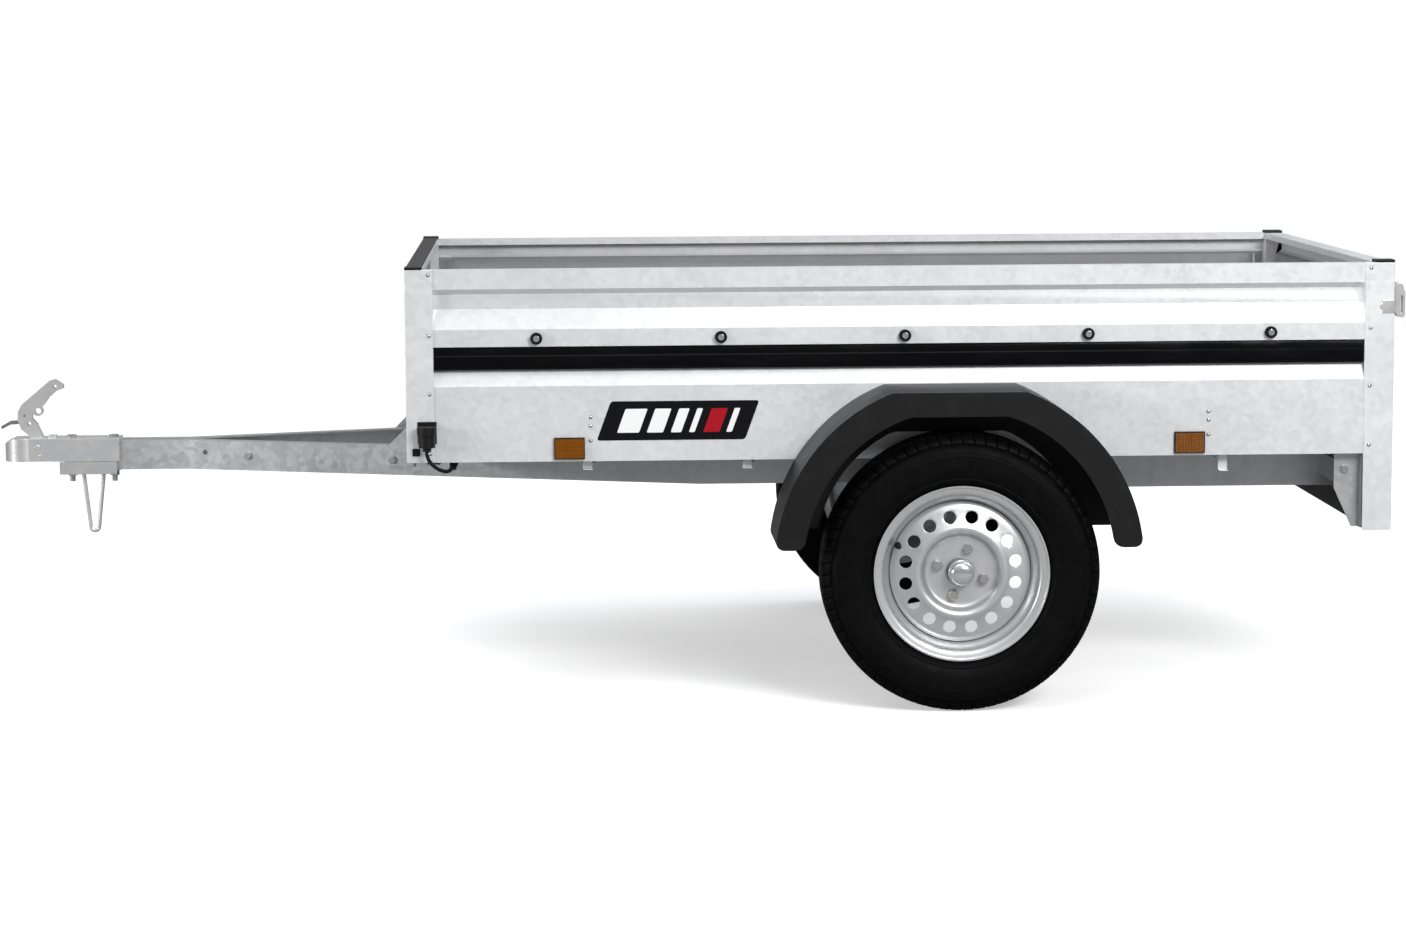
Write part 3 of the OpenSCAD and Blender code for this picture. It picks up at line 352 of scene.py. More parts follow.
def galvanised(name, tone, spangle, sheen, metal=0.7, inside_shade=0.0):
    """Zinc on steel: crystals of slightly different greys, cloudy patches and dull streaks in the
    lows. Painted shade darkens the faces that look into the box, up to the top rail's foot, by
    inside_shade."""
    made = Finish(name, (tone, tone, tone), sheen, metal)
    crystals = made.place.node("TexVoronoi", {"Vector": made.place, "Scale": 95.0}, out="Color")
    crystal = crystals.axis("X")
    cloud = made.place.noise(7, 4, 0.6)
    fine = made.place.noise(420, 2)
    streak = made.place.stretched(9, 9, 2).noise(5, 5, 0.65).clipped(0.48, 0.8)
    shade = (crystal - 0.5) * spangle + (cloud - 0.5) * 0.30
    shade = shade + (fine - 0.5) * 0.14 - streak * 0.10
    light = (shade + 0.5).clipped(0.0, 1.0)
    dark, pale = tone * 0.72, min(1.0, tone * 1.22)
    zinc = light.between(
        (dark * 0.97, dark * 0.99, dark * 1.02), (pale, pale * 1.005, pale * 1.01)
    )
    # Painted shade: faces that look into the box, below the top rail's foot, go to about an eighth
    # of the tone.
    if inside_shade:
        facing = made.place.node("TexCoord", out="Normal")
        outward = facing.axis("X") * made.place.axis("X") + facing.axis("Y") * made.place.axis("Y")
        painted_inside_shade = (outward < -0.1) * (made.place.axis("Z") < RAIL_FOOT) * inside_shade
        zinc = painted_inside_shade.between(zinc, (tone * 0.12, tone * 0.122, tone * 0.13))
    made.set("Base Color", zinc)
    made.set("Roughness", sheen - 0.06 + (cloud - 0.5) * 0.16 + crystal * 0.10 + streak * 0.12)
    made.bump(crystal * 0.25 + fine * 0.5 + cloud * 0.35, 0.0001)
    return made


def flat_shaded(made):
    """Keeps the broad faces flat to the eye, and turns only the narrow ones at the edges."""
    weighted = made.modifiers.new("flat faces", "WEIGHTED_NORMAL")
    weighted.mode, weighted.weight, weighted.keep_sharp = "FACE_AREA", 90, True


def opened(mesh, merge=0.0):
    """A bmesh of a mesh's shape, with the points nearer than merge metres made one."""
    work = bmesh.new()
    work.from_mesh(mesh)
    if merge:
        bmesh.ops.remove_doubles(work, verts=work.verts, dist=merge)
    return work


def facets_joined(work):
    """Makes one face of facets that lie within a degree of each other."""
    limit = math.radians(1)
    bmesh.ops.dissolve_limit(work, angle_limit=limit, verts=work.verts, edges=work.edges)
    return work


def cad_shape(node):
    """A CAD part's own shape, with its doubles merged and its facets joined."""
    return facets_joined(opened(nodes[node].data, 0.00001))


def sharp_edges(work, angle):
    """The edges where two faces turn by more than angle degrees."""
    limit = math.radians(angle)
    return [e for e in work.edges if len(e.link_faces) == 2 and e.calc_face_angle(0) > limit]


def rounded(work, edges, width, steps=2):
    """Rounds edges off, by width metres, in a few steps."""
    shape = {"segments": steps, "profile": 0.5, "affect": "EDGES", "clamp_overlap": True}
    bmesh.ops.bevel(work, geom=edges, offset=width, **shape)
    return work


def refined(node, body, finish, rounding=0.0, angle=32, steps=2):
    """A sheet or solid part's own shape, with its facets joined and its sharp edges broken."""
    work = cad_shape(node)
    if rounding:
        rounded(work, sharp_edges(work, angle), rounding, steps)
    made = piece(node + "_finished", as_mesh(work, node), finish, body, angle)
    flat_shaded(made)
    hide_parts(node)
    return made


frame_zinc = galvanised("frame_zinc", 0.50, 0.22, 0.36)
for part, rounding in (
    ("drawbar_beam_left", 0.0012), ("drawbar_beam_right", 0.0012), ("rear_rails", 0.001),
    ("cross_members", 0.001), ("frame_gussets", 0.0008), ("light_board", 0.0008),
    ("axle_tube", 0.003), ("axle_brackets", 0.001),
):
    refined(part, "chassis", frame_zinc, rounding)

# ----------------------------------------------------------------------------------- the coupling
# The coupling is a zinc-plated pressing bolted through the beams' ends, with a ball socket, a
# lever that lifts the jaw and a small catch in it. A bent round rod hangs below as the trailer's
# parking foot.


def zinc_plate(name, tone, sheen, warm=0.0):
    """Bright zinc plating with a faint yellow and blue film, and scuffs where it is handled."""
    made = Finish(name, (tone, tone, tone), sheen, 0.9)
    film = made.place.noise(26, 3, 0.55, 0.8).clipped(0.35, 0.7)
    scuff = made.place.stretched(1, 1, 4).noise(40, 5, 0.7).clipped(0.6, 0.8)
    cool = (tone * 0.96, tone * 0.98, tone * 1.03)
    straw = (tone * (1.03 + warm), tone, tone * (0.93 - warm))
    base = film.between(cool, straw)
    made.set("Base Color", (scuff * 0.25).between(base, (tone * 0.62, tone * 0.61, tone * 0.6)))
    made.set("Roughness", sheen + scuff * 0.22 + film * 0.06)
    made.bump(scuff * 0.6 + made.place.noise(120, 2), 0.00003)
    return made


coupling_zinc = zinc_plate("coupling_zinc", 0.92, 0.26)
clamp_zinc = zinc_plate("clamp_zinc", 0.76, 0.32)
forged = zinc_plate("forged_steel", 0.26, 0.42)
refined("coupling_body", "chassis", coupling_zinc, 0.0025, 32, 3)
refined("coupling_clamp", "chassis", clamp_zinc, 0.0015)
refined("support_rod", "chassis", clamp_zinc)
refined("coupling_handle", "handle", coupling_zinc, 0.0012, 32, 3)
refined("safety_catch", "catch", forged, 0.0004)
refined("ball_jaw", "jaw", forged, 0.0006)

# -------------------------------------------------------------------------------------- fasteners
# The frame and the coupling are held together by zinc-plated M10 and M12 hexagon bolts, with their
# heads and nuts outside.

bolt_zinc = zinc_plate("bolt_zinc", 0.48, 0.24, 0.03)
refined("coupling_bolts", "chassis", bolt_zinc, 0.0006)
refined("frame_bolts", "chassis", bolt_zinc, 0.0005)

# --------------------------------------------------------------------------------------- the axle
# Each stub axle is forged in one piece with its arm, which turns in a bush at the end of the
# square tube. The hub turns on two bearings and centres the wheel on its machined snout.

machined = Finish("machined_steel", (0.5, 0.5, 0.51), 0.32, 1.0)
turning = machined.place.stretched(1, 40, 1).noise(60, 3).clipped(0.4, 0.7)
machined.set("Roughness", 0.24 + turning * 0.2)
machined.bump(turning, 0.00005)
for side in ("left", "right"):
    refined("torsion_arm_" + side, "arm_" + side, forged, 0.001)
    refined("hub_" + side, "wheel_" + side, forged, 0.0008)
    machined.on("wheel_bearings_" + side)

# ------------------------------------------------------------------------------------- the wheels
# Each wheel is a 13 inch steel rim: a rolled barrel and a pressed disc with sixteen punched
# vents, welded together and painted silver. Four bolts hold it, and a pressed cap closes the hub.

WHEEL_Y = 0.717
WHEEL_Z = 0.289
RIM_STEPS = 144
VENTS = 16
BOLT_REACH = 50
BOLT_TURNS = [-math.radians(17 + 90 * i) for i in range(4)]


def paint(name):
    """Silver wheel paint: fine flakes, slight orange peel, and brown dust in the low places."""
    made = Finish(name, (0.5, 0.5, 0.51), 0.36, 0.8, coat_weight=0.2, coat_roughness=0.12)
    flake = made.place.noise(2600, 1)
    dust = made.place.noise(14, 5, 0.65).clipped(0.5, 0.82)
    flakes = flake.between((0.50, 0.505, 0.51), (0.74, 0.74, 0.75))
    made.set("Base Color", (dust * 0.45).between(flakes, (0.33, 0.31, 0.29)))
    made.set("Roughness", 0.3 + dust * 0.25 + flake * 0.08)
    made.bump(flake * 0.4 + made.place.noise(180, 2), 0.00008)
    return made


def spun(profile, steps, closed):
    """Turns (radius, y) points, in mm, about the wheel's axis, and gives a bmesh in metres."""
    work = bmesh.new()
    rings = []
    for radius, y in profile:
        if radius < 0.01:
            rings.append([work.verts.new((0, y / 1000, 0))] * steps)
            continue
        reach = radius / 1000
        places = [(reach * math.cos(t), y / 1000, reach * math.sin(t)) for t in circle(steps)]
        rings.append([work.verts.new(place) for place in places])
    pairs = list(zip(rings, rings[1:])) + ([(rings[-1], rings[0])] if closed else [])
    for a, b in pairs:
        for k in range(steps):
            corners = list(dict.fromkeys((a[k], a[(k + 1) % steps], b[(k + 1) % steps], b[k])))
            if len(corners) > 2:
                work.faces.new(corners)
    bmesh.ops.recalc_face_normals(work, faces=work.faces)
    return work


def curve_through(points, steps=4):
    """More points on a smooth line through (radius, y) points."""
    line = smooth_path([Vector((r, y, 0)) for r, y in points], steps)
    return [(p.x, p.y) for p in line]


def sheet_outline(line, thickness):
    """The closed outline of a sheet that lies beside a line of (radius, y) points."""
    other = []
    for i, (r, y) in enumerate(line):
        r0, y0 = line[max(i - 1, 0)]
        r1, y1 = line[min(i + 1, len(line) - 1)]
        along = Vector((r1 - r0, y1 - y0)).normalized()
        other.append((r - along.y * thickness, y + along.x * thickness))
    return line + other[::-1]


def standing(work, side):
    """Ends a wheel part, drawn for the right: moves it to its wheel, mirrored on the left."""
    for v in work.verts:
        v.co = Vector((v.co.x + AXLE_X, side * (v.co.y + WHEEL_Y), v.co.z + WHEEL_Z))
    bmesh.ops.remove_doubles(work, verts=work.verts, dist=0.000001)
    return as_mesh(work, "wheel_part", outwards=True)


def joined(*works):
    """Several bmeshes as one."""
    whole = works[0]
    for work in works[1:]:
        mesh = as_mesh(work, "part")
        whole.from_mesh(mesh)
        bpy.data.meshes.remove(mesh)
    return whole


def settled(shape, *helpers):
    """An object's mesh with its modifiers applied. It and its helper objects are removed."""
    ready = shape.evaluated_get(bpy.context.evaluated_depsgraph_get())
    mesh = bpy.data.meshes.new_from_object(ready)
    for used in (shape, *helpers):
        bpy.data.objects.remove(used)
    return mesh


def cut_out(mesh, cutters, edge=0.0):
    """A mesh with another one cut out of it, as a bmesh. edge rounds its sharp edges, in metres."""
    shape, tool = added("shape", mesh), added("cutters", cutters)
    cut = shape.modifiers.new("cut", "BOOLEAN")
    cut.object, cut.operation, cut.solver = tool, "DIFFERENCE", "EXACT"
    if edge:
        broken = shape.modifiers.new("broken edge", "BEVEL")
        broken.width, broken.segments = edge, 2
        broken.limit_method, broken.angle_limit = "ANGLE", math.radians(50)
    return opened(settled(shape, tool))


def barrel():
    """The rolled barrel with its two flanges, bead seats and well."""
    line = [(182, 66), (182, 62), (179.5, 59), (172, 57.6), (166.5, 56), (165, 52), (164, 42)]
    line += [(160, 34), (152, 25), (150, 19), (150, -12), (152, -24), (160, -34), (164, -42)]
    line += [(165, -52), (166.5, -56), (172, -57.6), (179.5, -59), (182, -62), (182, -66)]
    return spun(sheet_outline(curve_through(line, 3), -3), RIM_STEPS, True)


def disc():
    """The pressed disc, with its vents and bolt holes cut through."""
    line = [(147.2, 14), (146.6, 24), (144, 31), (136, 35.5), (120, 38.5), (104, 42), (96, 45.4)]
    line += [(89, 46.2), (82, 43), (76, 36), (70, 32.6), (56, 32), (40, 32), (28.5, 32)]
    plate = as_mesh(spun(sheet_outline(curve_through(line, 3), 4), RIM_STEPS, True), "disc")
    holes = [(116, 13.3, (i + 0.5) * 2 * math.pi / VENTS) for i in range(VENTS)]
    holes += [(BOLT_REACH, 6.5, turn) for turn in BOLT_TURNS]
    cutters = bmesh.new()
    for reach, radius, turn in holes:
        place = (reach / 1000 * math.cos(turn), 0.03, reach / 1000 * math.sin(turn))
        drill = Matrix.Translation(place) @ Matrix.Rotation(math.pi / 2, 4, "X")
        size = {"radius1": radius / 1000, "radius2": radius / 1000, "depth": 0.06}
        bmesh.ops.create_cone(cutters, cap_ends=True, segments=32, matrix=drill, **size)
    return cut_out(plate, as_mesh(cutters, "cutters"), 0.0009)


def hub_cap():
    """The pressed grease cap, with a rolled bead and a shallow dome."""
    profile = [(0, 76.6), (9, 76.3), (16, 75), (21, 72.2), (23.6, 69), (25, 65), (25.4, 58)]
    profile += [(27.4, 56.6), (27.6, 54.6), (26, 53.6), (24.6, 52.6), (22.9, 52), (22.9, 40)]
    profile += [(0, 40)]
    return spun(profile, 72, False)


def bolt_head(reach, turn):
    """One wheel bolt: a washer face, a hexagon with a domed top, in place round the hub."""
    work = bmesh.new()
    sides, sixth = 36, math.pi / 3
    corner = 10.4 / 1000 / math.cos(sixth / 2)
    at = Vector((reach * math.cos(turn), 0, reach * math.sin(turn)))
    rings = []
    for y, radius in ((32.2, 0.0102), (34.6, 0.0102), (35.2, 0.0096)):
        ring = [(radius * math.cos(t), y / 1000, radius * math.sin(t)) for t in circle(sides)]
        rings.append([work.verts.new(at + Vector(place)) for place in ring])
    for y, low, high in ((35.2, 1.0, 1.0), (44.6, 1.0, 1.0), (46.0, 0.9, 0.87)):
        ring = []
        for k, t in enumerate(circle(sides)):
            flat = math.cos(sixth / 2) / math.cos((t % sixth) - sixth / 2)
            radius = corner * flat * (low if k % 6 else high) * 0.92
            ring.append(at + Vector((radius * math.cos(t), y / 1000, radius * math.sin(t))))
        rings.append([work.verts.new(place) for place in ring])
    for low, high in zip(rings, rings[1:]):
        band(work, low, high)
    work.faces.new(rings[0])
    work.faces.new(rings[-1])
    bmesh.ops.recalc_face_normals(work, faces=work.faces)
    return work


wheel_silver = paint("wheel_silver")
cap_zinc = zinc_plate("cap_zinc", 0.70, 0.16)
for side, sign in (("left", -1), ("right", 1)):
    body = "wheel_" + side
    rim_mesh = standing(joined(barrel(), disc()), sign)
    rim = piece("rim_" + side + "_painted", rim_mesh, wheel_silver, body, 40)
    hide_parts("rim_" + side)
    cap_mesh = standing(hub_cap(), sign)
    cap = piece("grease_cap_" + side + "_pressed", cap_mesh, cap_zinc, body, 30)
    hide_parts("grease_cap_" + side)
    bolt_mesh = standing(joined(*[bolt_head(BOLT_REACH / 1000, t) for t in BOLT_TURNS]), sign)
    bolts = piece("wheel_bolts_" + side + "_turned", bolt_mesh, bolt_zinc, body, 30)
    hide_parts("wheel_bolts_" + side)

# -------------------------------------------------------------------------------------- the tyres
# A 155/80 R13 road tyre of black rubber: a moulded sidewall with fine rings and a knurled band,
# and a tread of seventy-two pitches, each with two slanted shoulder blocks and three centre
# blocks.

TREAD_R = 289.0
GROOVE = 6.5
PITCHES = 72


def parts_at_places():
    """The tree that sets a part at each vertex, turned by the vertex's own angles, and scaled."""
    tree = bpy.data.node_groups.new("parts_at_places", "GeometryNodeTree")
    inputs = {"Places": "Geometry", "Part": "Object", "Scale": "Float", "Finish": "Material"}
    for name, kind in inputs.items():
        tree.interface.new_socket(name, in_out="INPUT", socket_type="NodeSocket" + kind)
    tree.interface.new_socket("Parts", in_out="OUTPUT", socket_type="NodeSocketGeometry")
    kinds = (
        "NodeGroupInput", "GeometryNodeInputNamedAttribute", "GeometryNodeObjectInfo",
        "GeometryNodeInstanceOnPoints", "GeometryNodeRealizeInstances", "GeometryNodeSetMaterial",
        "NodeGroupOutput",
    )
    given, turn, part, set_out, real, finish, result = (tree.nodes.new(kind) for kind in kinds)
    turn.data_type = "FLOAT_VECTOR"
    turn.inputs["Name"].default_value = "turn"
    for a, out, b, into in (
        (given, "Places", set_out, "Points"), (given, "Part", part, "Object"),
        (part, "Geometry", set_out, "Instance"), (turn, "Attribute", set_out, "Rotation"),
        (given, "Scale", set_out, "Scale"), (set_out, "Instances", real, "Geometry"),
        (real, "Geometry", finish, "Geometry"), (given, "Finish", finish, "Material"),
        (finish, "Geometry", result, "Parts"),
    ):
        tree.links.new(a.outputs[out], b.inputs[into])
    return tree


setting_out = parts_at_places()


def set_out(part, places, finish, scale=1.0):
    """One mesh of a part (a bmesh in metres) at every place, each a location and three angles."""
    part_object = added("part", as_mesh(part, "part"))
    spots = bpy.data.meshes.new("places")
    spots.from_pydata([tuple(at) for at, _ in places], [], [])
    turns = spots.attributes.new("turn", "FLOAT_VECTOR", "POINT")
    turns.data.foreach_set("vector", [a for _, angles in places for a in angles])
    holder = added("places", spots)
    modifier = holder.modifiers.new("set out", "NODES")
    modifier.node_group = setting_out
    inputs = {i.name: i.identifier for i in setting_out.interface.items_tree if i.in_out == "INPUT"}
    modifier[inputs["Part"]] = part_object
    modifier[inputs["Scale"]] = scale
    modifier[inputs["Finish"]] = finish.material
    made = settled(holder, part_object)
    attribute = made.attributes.get("turn")
    if attribute:
        made.attributes.remove(attribute)
    return opened(made)


def tread_block(section, slant, share):
    """One tread block: a (y, radius) section swept round a share of the pitch, leaning by slant."""
    work = bmesh.new()
    pitch = 2 * math.pi / PITCHES
    stations = []
    for step in (-0.5, 0.0, 0.5):
        ring = []
        for y, radius in section:
            turn, reach = pitch * (share * step + slant * y / 60), radius / 1000
            place = (reach * math.sin(turn), y / 1000, reach * math.cos(turn))
            ring.append(work.verts.new(place))
        stations.append(ring)
    for low, high in zip(stations, stations[1:]):
        band(work, low, high)
    work.faces.new(stations[0])
    work.faces.new(stations[-1])
    bmesh.ops.recalc_face_normals(work, faces=work.faces)
    return rounded(work, sharp_edges(work, 34.4), 0.0006)


def rows_of_blocks():
    """The blocks of one pitch, from the inner shoulder to the outer one."""
    low = TREAD_R - GROOVE - 1
    blocks = []
    for sign in (-1, 1):
        shoulder = [(41, low), (41, 288.6), (48, 287.6), (55, 284.6), (60.5, 280.6), (64.5, 275.6)]
        shoulder += [(66.4, 270.5), (62, 268), (56, 272), (50, low - 2)]
        blocks.append(tread_block([(sign * y, r) for y, r in shoulder], 0.5 * sign, 0.9))
        rib = [(17, low), (17, TREAD_R - 0.1), (26, TREAD_R - 0.2), (35, TREAD_R - 0.3), (35, low)]
        blocks.append(tread_block([(sign * y, r) for y, r in rib], 0.9 * sign, 0.9))
    centre = [(-11, low), (-11, TREAD_R - 0.1), (0, TREAD_R), (11, TREAD_R - 0.1), (11, low)]
    blocks.append(tread_block(centre, 1.0, 0.92))
    return joined(*blocks)


def carcass():
    """The tyre's body under its blocks, with the moulded rings of both sidewalls."""
    outer = [(165.3, 40), (165.3, 54.5), (172.5, 56.4), (179, 58.2), (184.5, 61.5), (190, 67.2)]
    outer += [(193.5, 70.4), (196, 71.4), (198, 70.9), (202, 72.9), (211, 75.8), (222, 77.4)]
    outer += [(233, 77.9), (241, 77.9), (243, 78), (245, 77.9), (252, 76.5), (258, 74.6)]
    outer += [(260, 74.4), (262, 73.2), (266, 69.6), (270, 64), (275, 56), (279, 48)]
    outer += [(282, 41.5), (282.4, 20), (282.4, 0)]
    inner = [(277, 0), (277, 30), (273, 46), (261, 58), (236, 68), (206, 65), (188, 54), (177, 44)]
    line = curve_through(outer, 3)
    other_side = [(r, -y) for r, y in [*line[-2::-1], *inner[::-1]]]
    return spun(line + other_side + inner[1:], 180, True)


def knurls():
    """The band of short raised bars round each sidewall."""
    bar = bmesh.new()
    bmesh.ops.create_cube(bar, size=1.0, matrix=Matrix.Diagonal((0.0016, 0.0007, 0.009, 1)))
    reach, y, lean = 0.2495, 0.0769, 0.17
    places = []
    for turn in circle(216):
        for sign in (-1, 1):
            place = (reach * math.sin(turn), sign * y, reach * math.cos(turn))
            places.append((place, (sign * -lean, turn, 0)))
    return bar, places


tyre_rubber = rubber("tyre_rubber", 0.0018)
for side, sign in (("left", -1), ("right", 1)):
    turns = [((0, 0, 0), (0, turn, 0)) for turn in circle(PITCHES)]
    blocks = set_out(rows_of_blocks(), turns, tyre_rubber)
    bars = set_out(*knurls(), tyre_rubber)
    tyre_mesh = standing(joined(carcass(), blocks, bars), sign)
    tyre = piece("tyre_" + side + "_moulded", tyre_mesh, tyre_rubber, "wheel_" + side, 35)
    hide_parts("tyre_" + side)

# A snap-in valve of black rubber with a cap stands in each rim's step.
VALVE_REACH, VALVE_TURN, VALVE_IN = 0.1415, math.radians(156.5), 0.003
for side, sign in (("left", -1), ("right", 1)):
    stem = [(0, 34), (6.6, 34), (7.4, 36), (7.0, 39), (5.0, 42), (4.1, 49), (3.9, 56), (4.2, 56.6)]
    stem += [(4.2, 66.5), (3.4, 68), (0, 68.2)]
    valve_work = spun(stem, 24, False)
    across, up = VALVE_REACH * math.cos(VALVE_TURN), VALVE_REACH * math.sin(VALVE_TURN)
    for v in valve_work.verts:
        v.co += Vector((across, -VALVE_IN, up))
    valve_mesh = standing(valve_work, sign)
    piece("valve_" + side, valve_mesh, cable_rubber, "wheel_" + side, 40)

# ---------------------------------------------------------------------------------- the mudguards
# Each mudguard is moulded in black plastic with a fine grain, and screwed to the side wall
# through its inner flange. Its outer lip stiffens the edge and turns round the lower ends.


def moulded(name, tone, sheen, grain=1500):
    """Black plastic with a spark-eroded grain, paler where stones and hands have rubbed it."""
    made = Finish(name, (tone, tone, tone * 1.05), sheen, specular_ior_level=0.22)
    rub = made.place.noise(16, 5, 0.62).clipped(0.5, 0.8)
    rubbed = (tone * 1.9, tone * 1.9, tone * 2.0)
    made.set("Base Color", rub.between((tone, tone, tone * 1.05), rubbed))
    made.set("Roughness", sheen + rub * 0.12 + (made.place.noise(grain, 1) - 0.5) * 0.12)
    made.bump(made.place.noise(grain, 2) + made.place.noise(90, 2) * 0.4, 0.00018)
    return made


guard_plastic = moulded("guard_plastic", 0.006, 0.40)
# The lower ends' rounding, the shell's centre, its radius, its flat top and its foot, and how near
# two points of one edge lie.
END_ROUND = 0.022
GUARD_X, GUARD_Z = AXLE_X - 0.008, 0.313
GUARD_R, GUARD_FLAT, GUARD_FOOT = 0.380, 0.354, 0.345
NEAR = 0.0006


def arc(start, corner, end, steps):
    """A curve from start to end that rounds off a corner."""
    shares = [k / steps for k in range(steps + 1)]
    return [start * (1 - t) ** 2 + corner * 2 * t * (1 - t) + end * t**2 for t in shares]


def rounded_corner(corner, along, up):
    """What is cut away, in x and z, to round one corner of a lower end."""
    start, end = corner + along * END_ROUND, corner + up * END_ROUND
    return [*arc(start, corner, end, 8), corner - (along + up) * 0.004]


def bar_between(work, first, last):
    """Adds a bar between two outlines, each a list of places."""
    rings = [[work.verts.new(place) for place in outline] for outline in (first, last)]
    band(work, *rings)
    work.faces.new(rings[0])
    work.faces.new(rings[1])


def bar_across(work, outline, near, far):
    """Adds a bar with a flat outline in x and z, from one y to another."""
    bar_between(work, *([(p.x, y, p.y) for p in outline] for y in (near, far)))


def end_corners(work):
    """The lip's four lower corners, each with the directions of the two edges that meet there."""
    foot = min(v.co.z for v in work.verts)
    lip = max(abs(v.co.y) for v in work.verts)
    low = [v for v in work.verts if v.co.z < foot + NEAR and abs(v.co.y) > lip - NEAR]
    low.sort(key=lambda v: v.co.x)
    found = []
    for group in ([v for v in low if v.co.x < GUARD_X], [v for v in low if v.co.x > GUARD_X]):
        for v, other in ((group[0], group[-1]), (group[-1], group[0])):
            rising = [e.other_vert(v) for e in v.link_edges if e.other_vert(v).co.z > foot + 0.001]
            rising = [r for r in rising if abs(r.co.y) > lip - NEAR]
            here = Vector((v.co.x, v.co.z))
            above = Vector((rising[0].co.x, rising[0].co.z))
            along = Vector((other.co.x, other.co.z)) - here
            found.append((here, along.normalized(), (above - here).normalized()))
    return found


def mudguard(side, sign):
    """The solid mudguard's own shape, with its lower ends rounded and a soft outer edge."""
    work = cad_shape("mudguard_" + side)
    lip = max(abs(v.co.y) for v in work.verts)
    ends = bmesh.new()
    for corner in end_corners(work):
        bar_across(ends, rounded_corner(*corner), 0.60 * sign, 0.83 * sign)
    work = cut_out(as_mesh(work, "mudguard", True), as_mesh(ends, "corners", True))
    bmesh.ops.remove_doubles(work, verts=work.verts, dist=0.00002)
    facets_joined(work)
    outer = []
    for e in sharp_edges(work, 40):
        on_lip = all(abs(v.co.y) > lip - 0.0003 for v in e.verts)
        over = [f for f in e.link_faces if abs(f.normal.y) < 0.5]
        from_lip = [abs(v.co.y - e.verts[0].co.y) for f in over for v in f.verts]
        if on_lip and any(reach > 0.1 for reach in from_lip):
            outer.append(e)
    rounded(work, outer, 0.007, 5)
    rounded(work, sharp_edges(work, 40), 0.001)
    name, mesh = "mudguard_" + side, as_mesh(work, "mudguard")
    made = piece(name + "_moulded", mesh, guard_plastic, "chassis", 30)
    flat_shaded(made)
    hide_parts(name)


def guard_line(inset):
    """The mudguard's outline in x and z, moved in towards the wheel."""
    reach, flat = GUARD_R - inset, GUARD_FLAT - inset
    low = math.asin((GUARD_FOOT + 0.02 - GUARD_Z) / reach)
    turns = [low + (math.pi - 2 * low) * k / 60 for k in range(61)]
    points = []
    for t in turns:
        scale = min(1.0, flat / (reach * math.sin(t))) if math.sin(t) > 0.01 else 1.0
        x, z = reach * math.cos(t) * scale, reach * math.sin(t) * scale
        points.append(Vector((GUARD_X + x, GUARD_Z + z)))
    return points


def guard_side(side, sign):
    """The mudguard's inner side: a plain black web against the wall, from the shell in to the tyre.
    It is the guard's inner flange, and as a black sheet it also paints the deep shade that falls
    on the wall under the shell.
    """
    work = bmesh.new()
    web = guard_line(0.0015) + guard_line(0.100)[::-1]
    bar_across(work, web, 0.6132 * sign, 0.6168 * sign)
    mesh = as_mesh(work, "guard_side", outwards=True)
    piece("mudguard_side_" + side, mesh, guard_plastic, "chassis", 30)


for side, sign in (("left", -1), ("right", 1)):
    mudguard(side, sign)
    guard_side(side, sign)

# -------------------------------------------------------------------------------------- the floor
# The floor is one sheet of 12 mm birch plywood faced with brown film; its upper face is pressed
# with a non-slip mesh, and the plies show at the edges.

film = Finish("brown_film", (0.09, 0.05, 0.03), 0.5, coat_weight=0.15)
across = film.place.axis("X") * 180
along = film.place.axis("Y") * 180
one_way = film.place.maths("ABSOLUTE", film.place.maths("SINE", across + along))
other_way = film.place.maths("ABSOLUTE", film.place.maths("SINE", across - along))
bars = film.place.maths("MAXIMUM", one_way < 0.16, other_way < 0.16)
stain = film.place.noise(5, 5, 0.6).clipped(0.35, 0.75)
film.set("Base Color", (stain * 0.8).between((0.060, 0.034, 0.022), (0.115, 0.068, 0.042)))
film.set("Roughness", 0.42 + bars * 0.2 + stain * 0.15)
film.bump(bars + film.place.noise(700, 2) * 0.3, 0.0003)
refined("floor_panel", "chassis", film, 0.0006)

# -------------------------------------------------------------------------------------- the walls
# The walls are roll-formed from 2 mm galvanised sheet: a folded top rail, an upper recess whose
# ends fade out at the posts, and a lower recess that carries the black strip.

# The walls' zinc paints shade on the faces that look into the box, below the top rail's foot.
wall_zinc = galvanised("wall_zinc", 0.72, 0.10, 0.42, 0.35, 0.7)
post_zinc = galvanised("post_zinc", 0.74, 0.09, 0.42, 0.35)
WALL_SKIN = 0.613
POST_FRONT, POST_REAR = -0.5245, 1.4265
RECESS_LOW, RECESS_TOP = 0.788, 0.873
RECESS_DEEP, RECESS_FADE = 0.015, 0.024


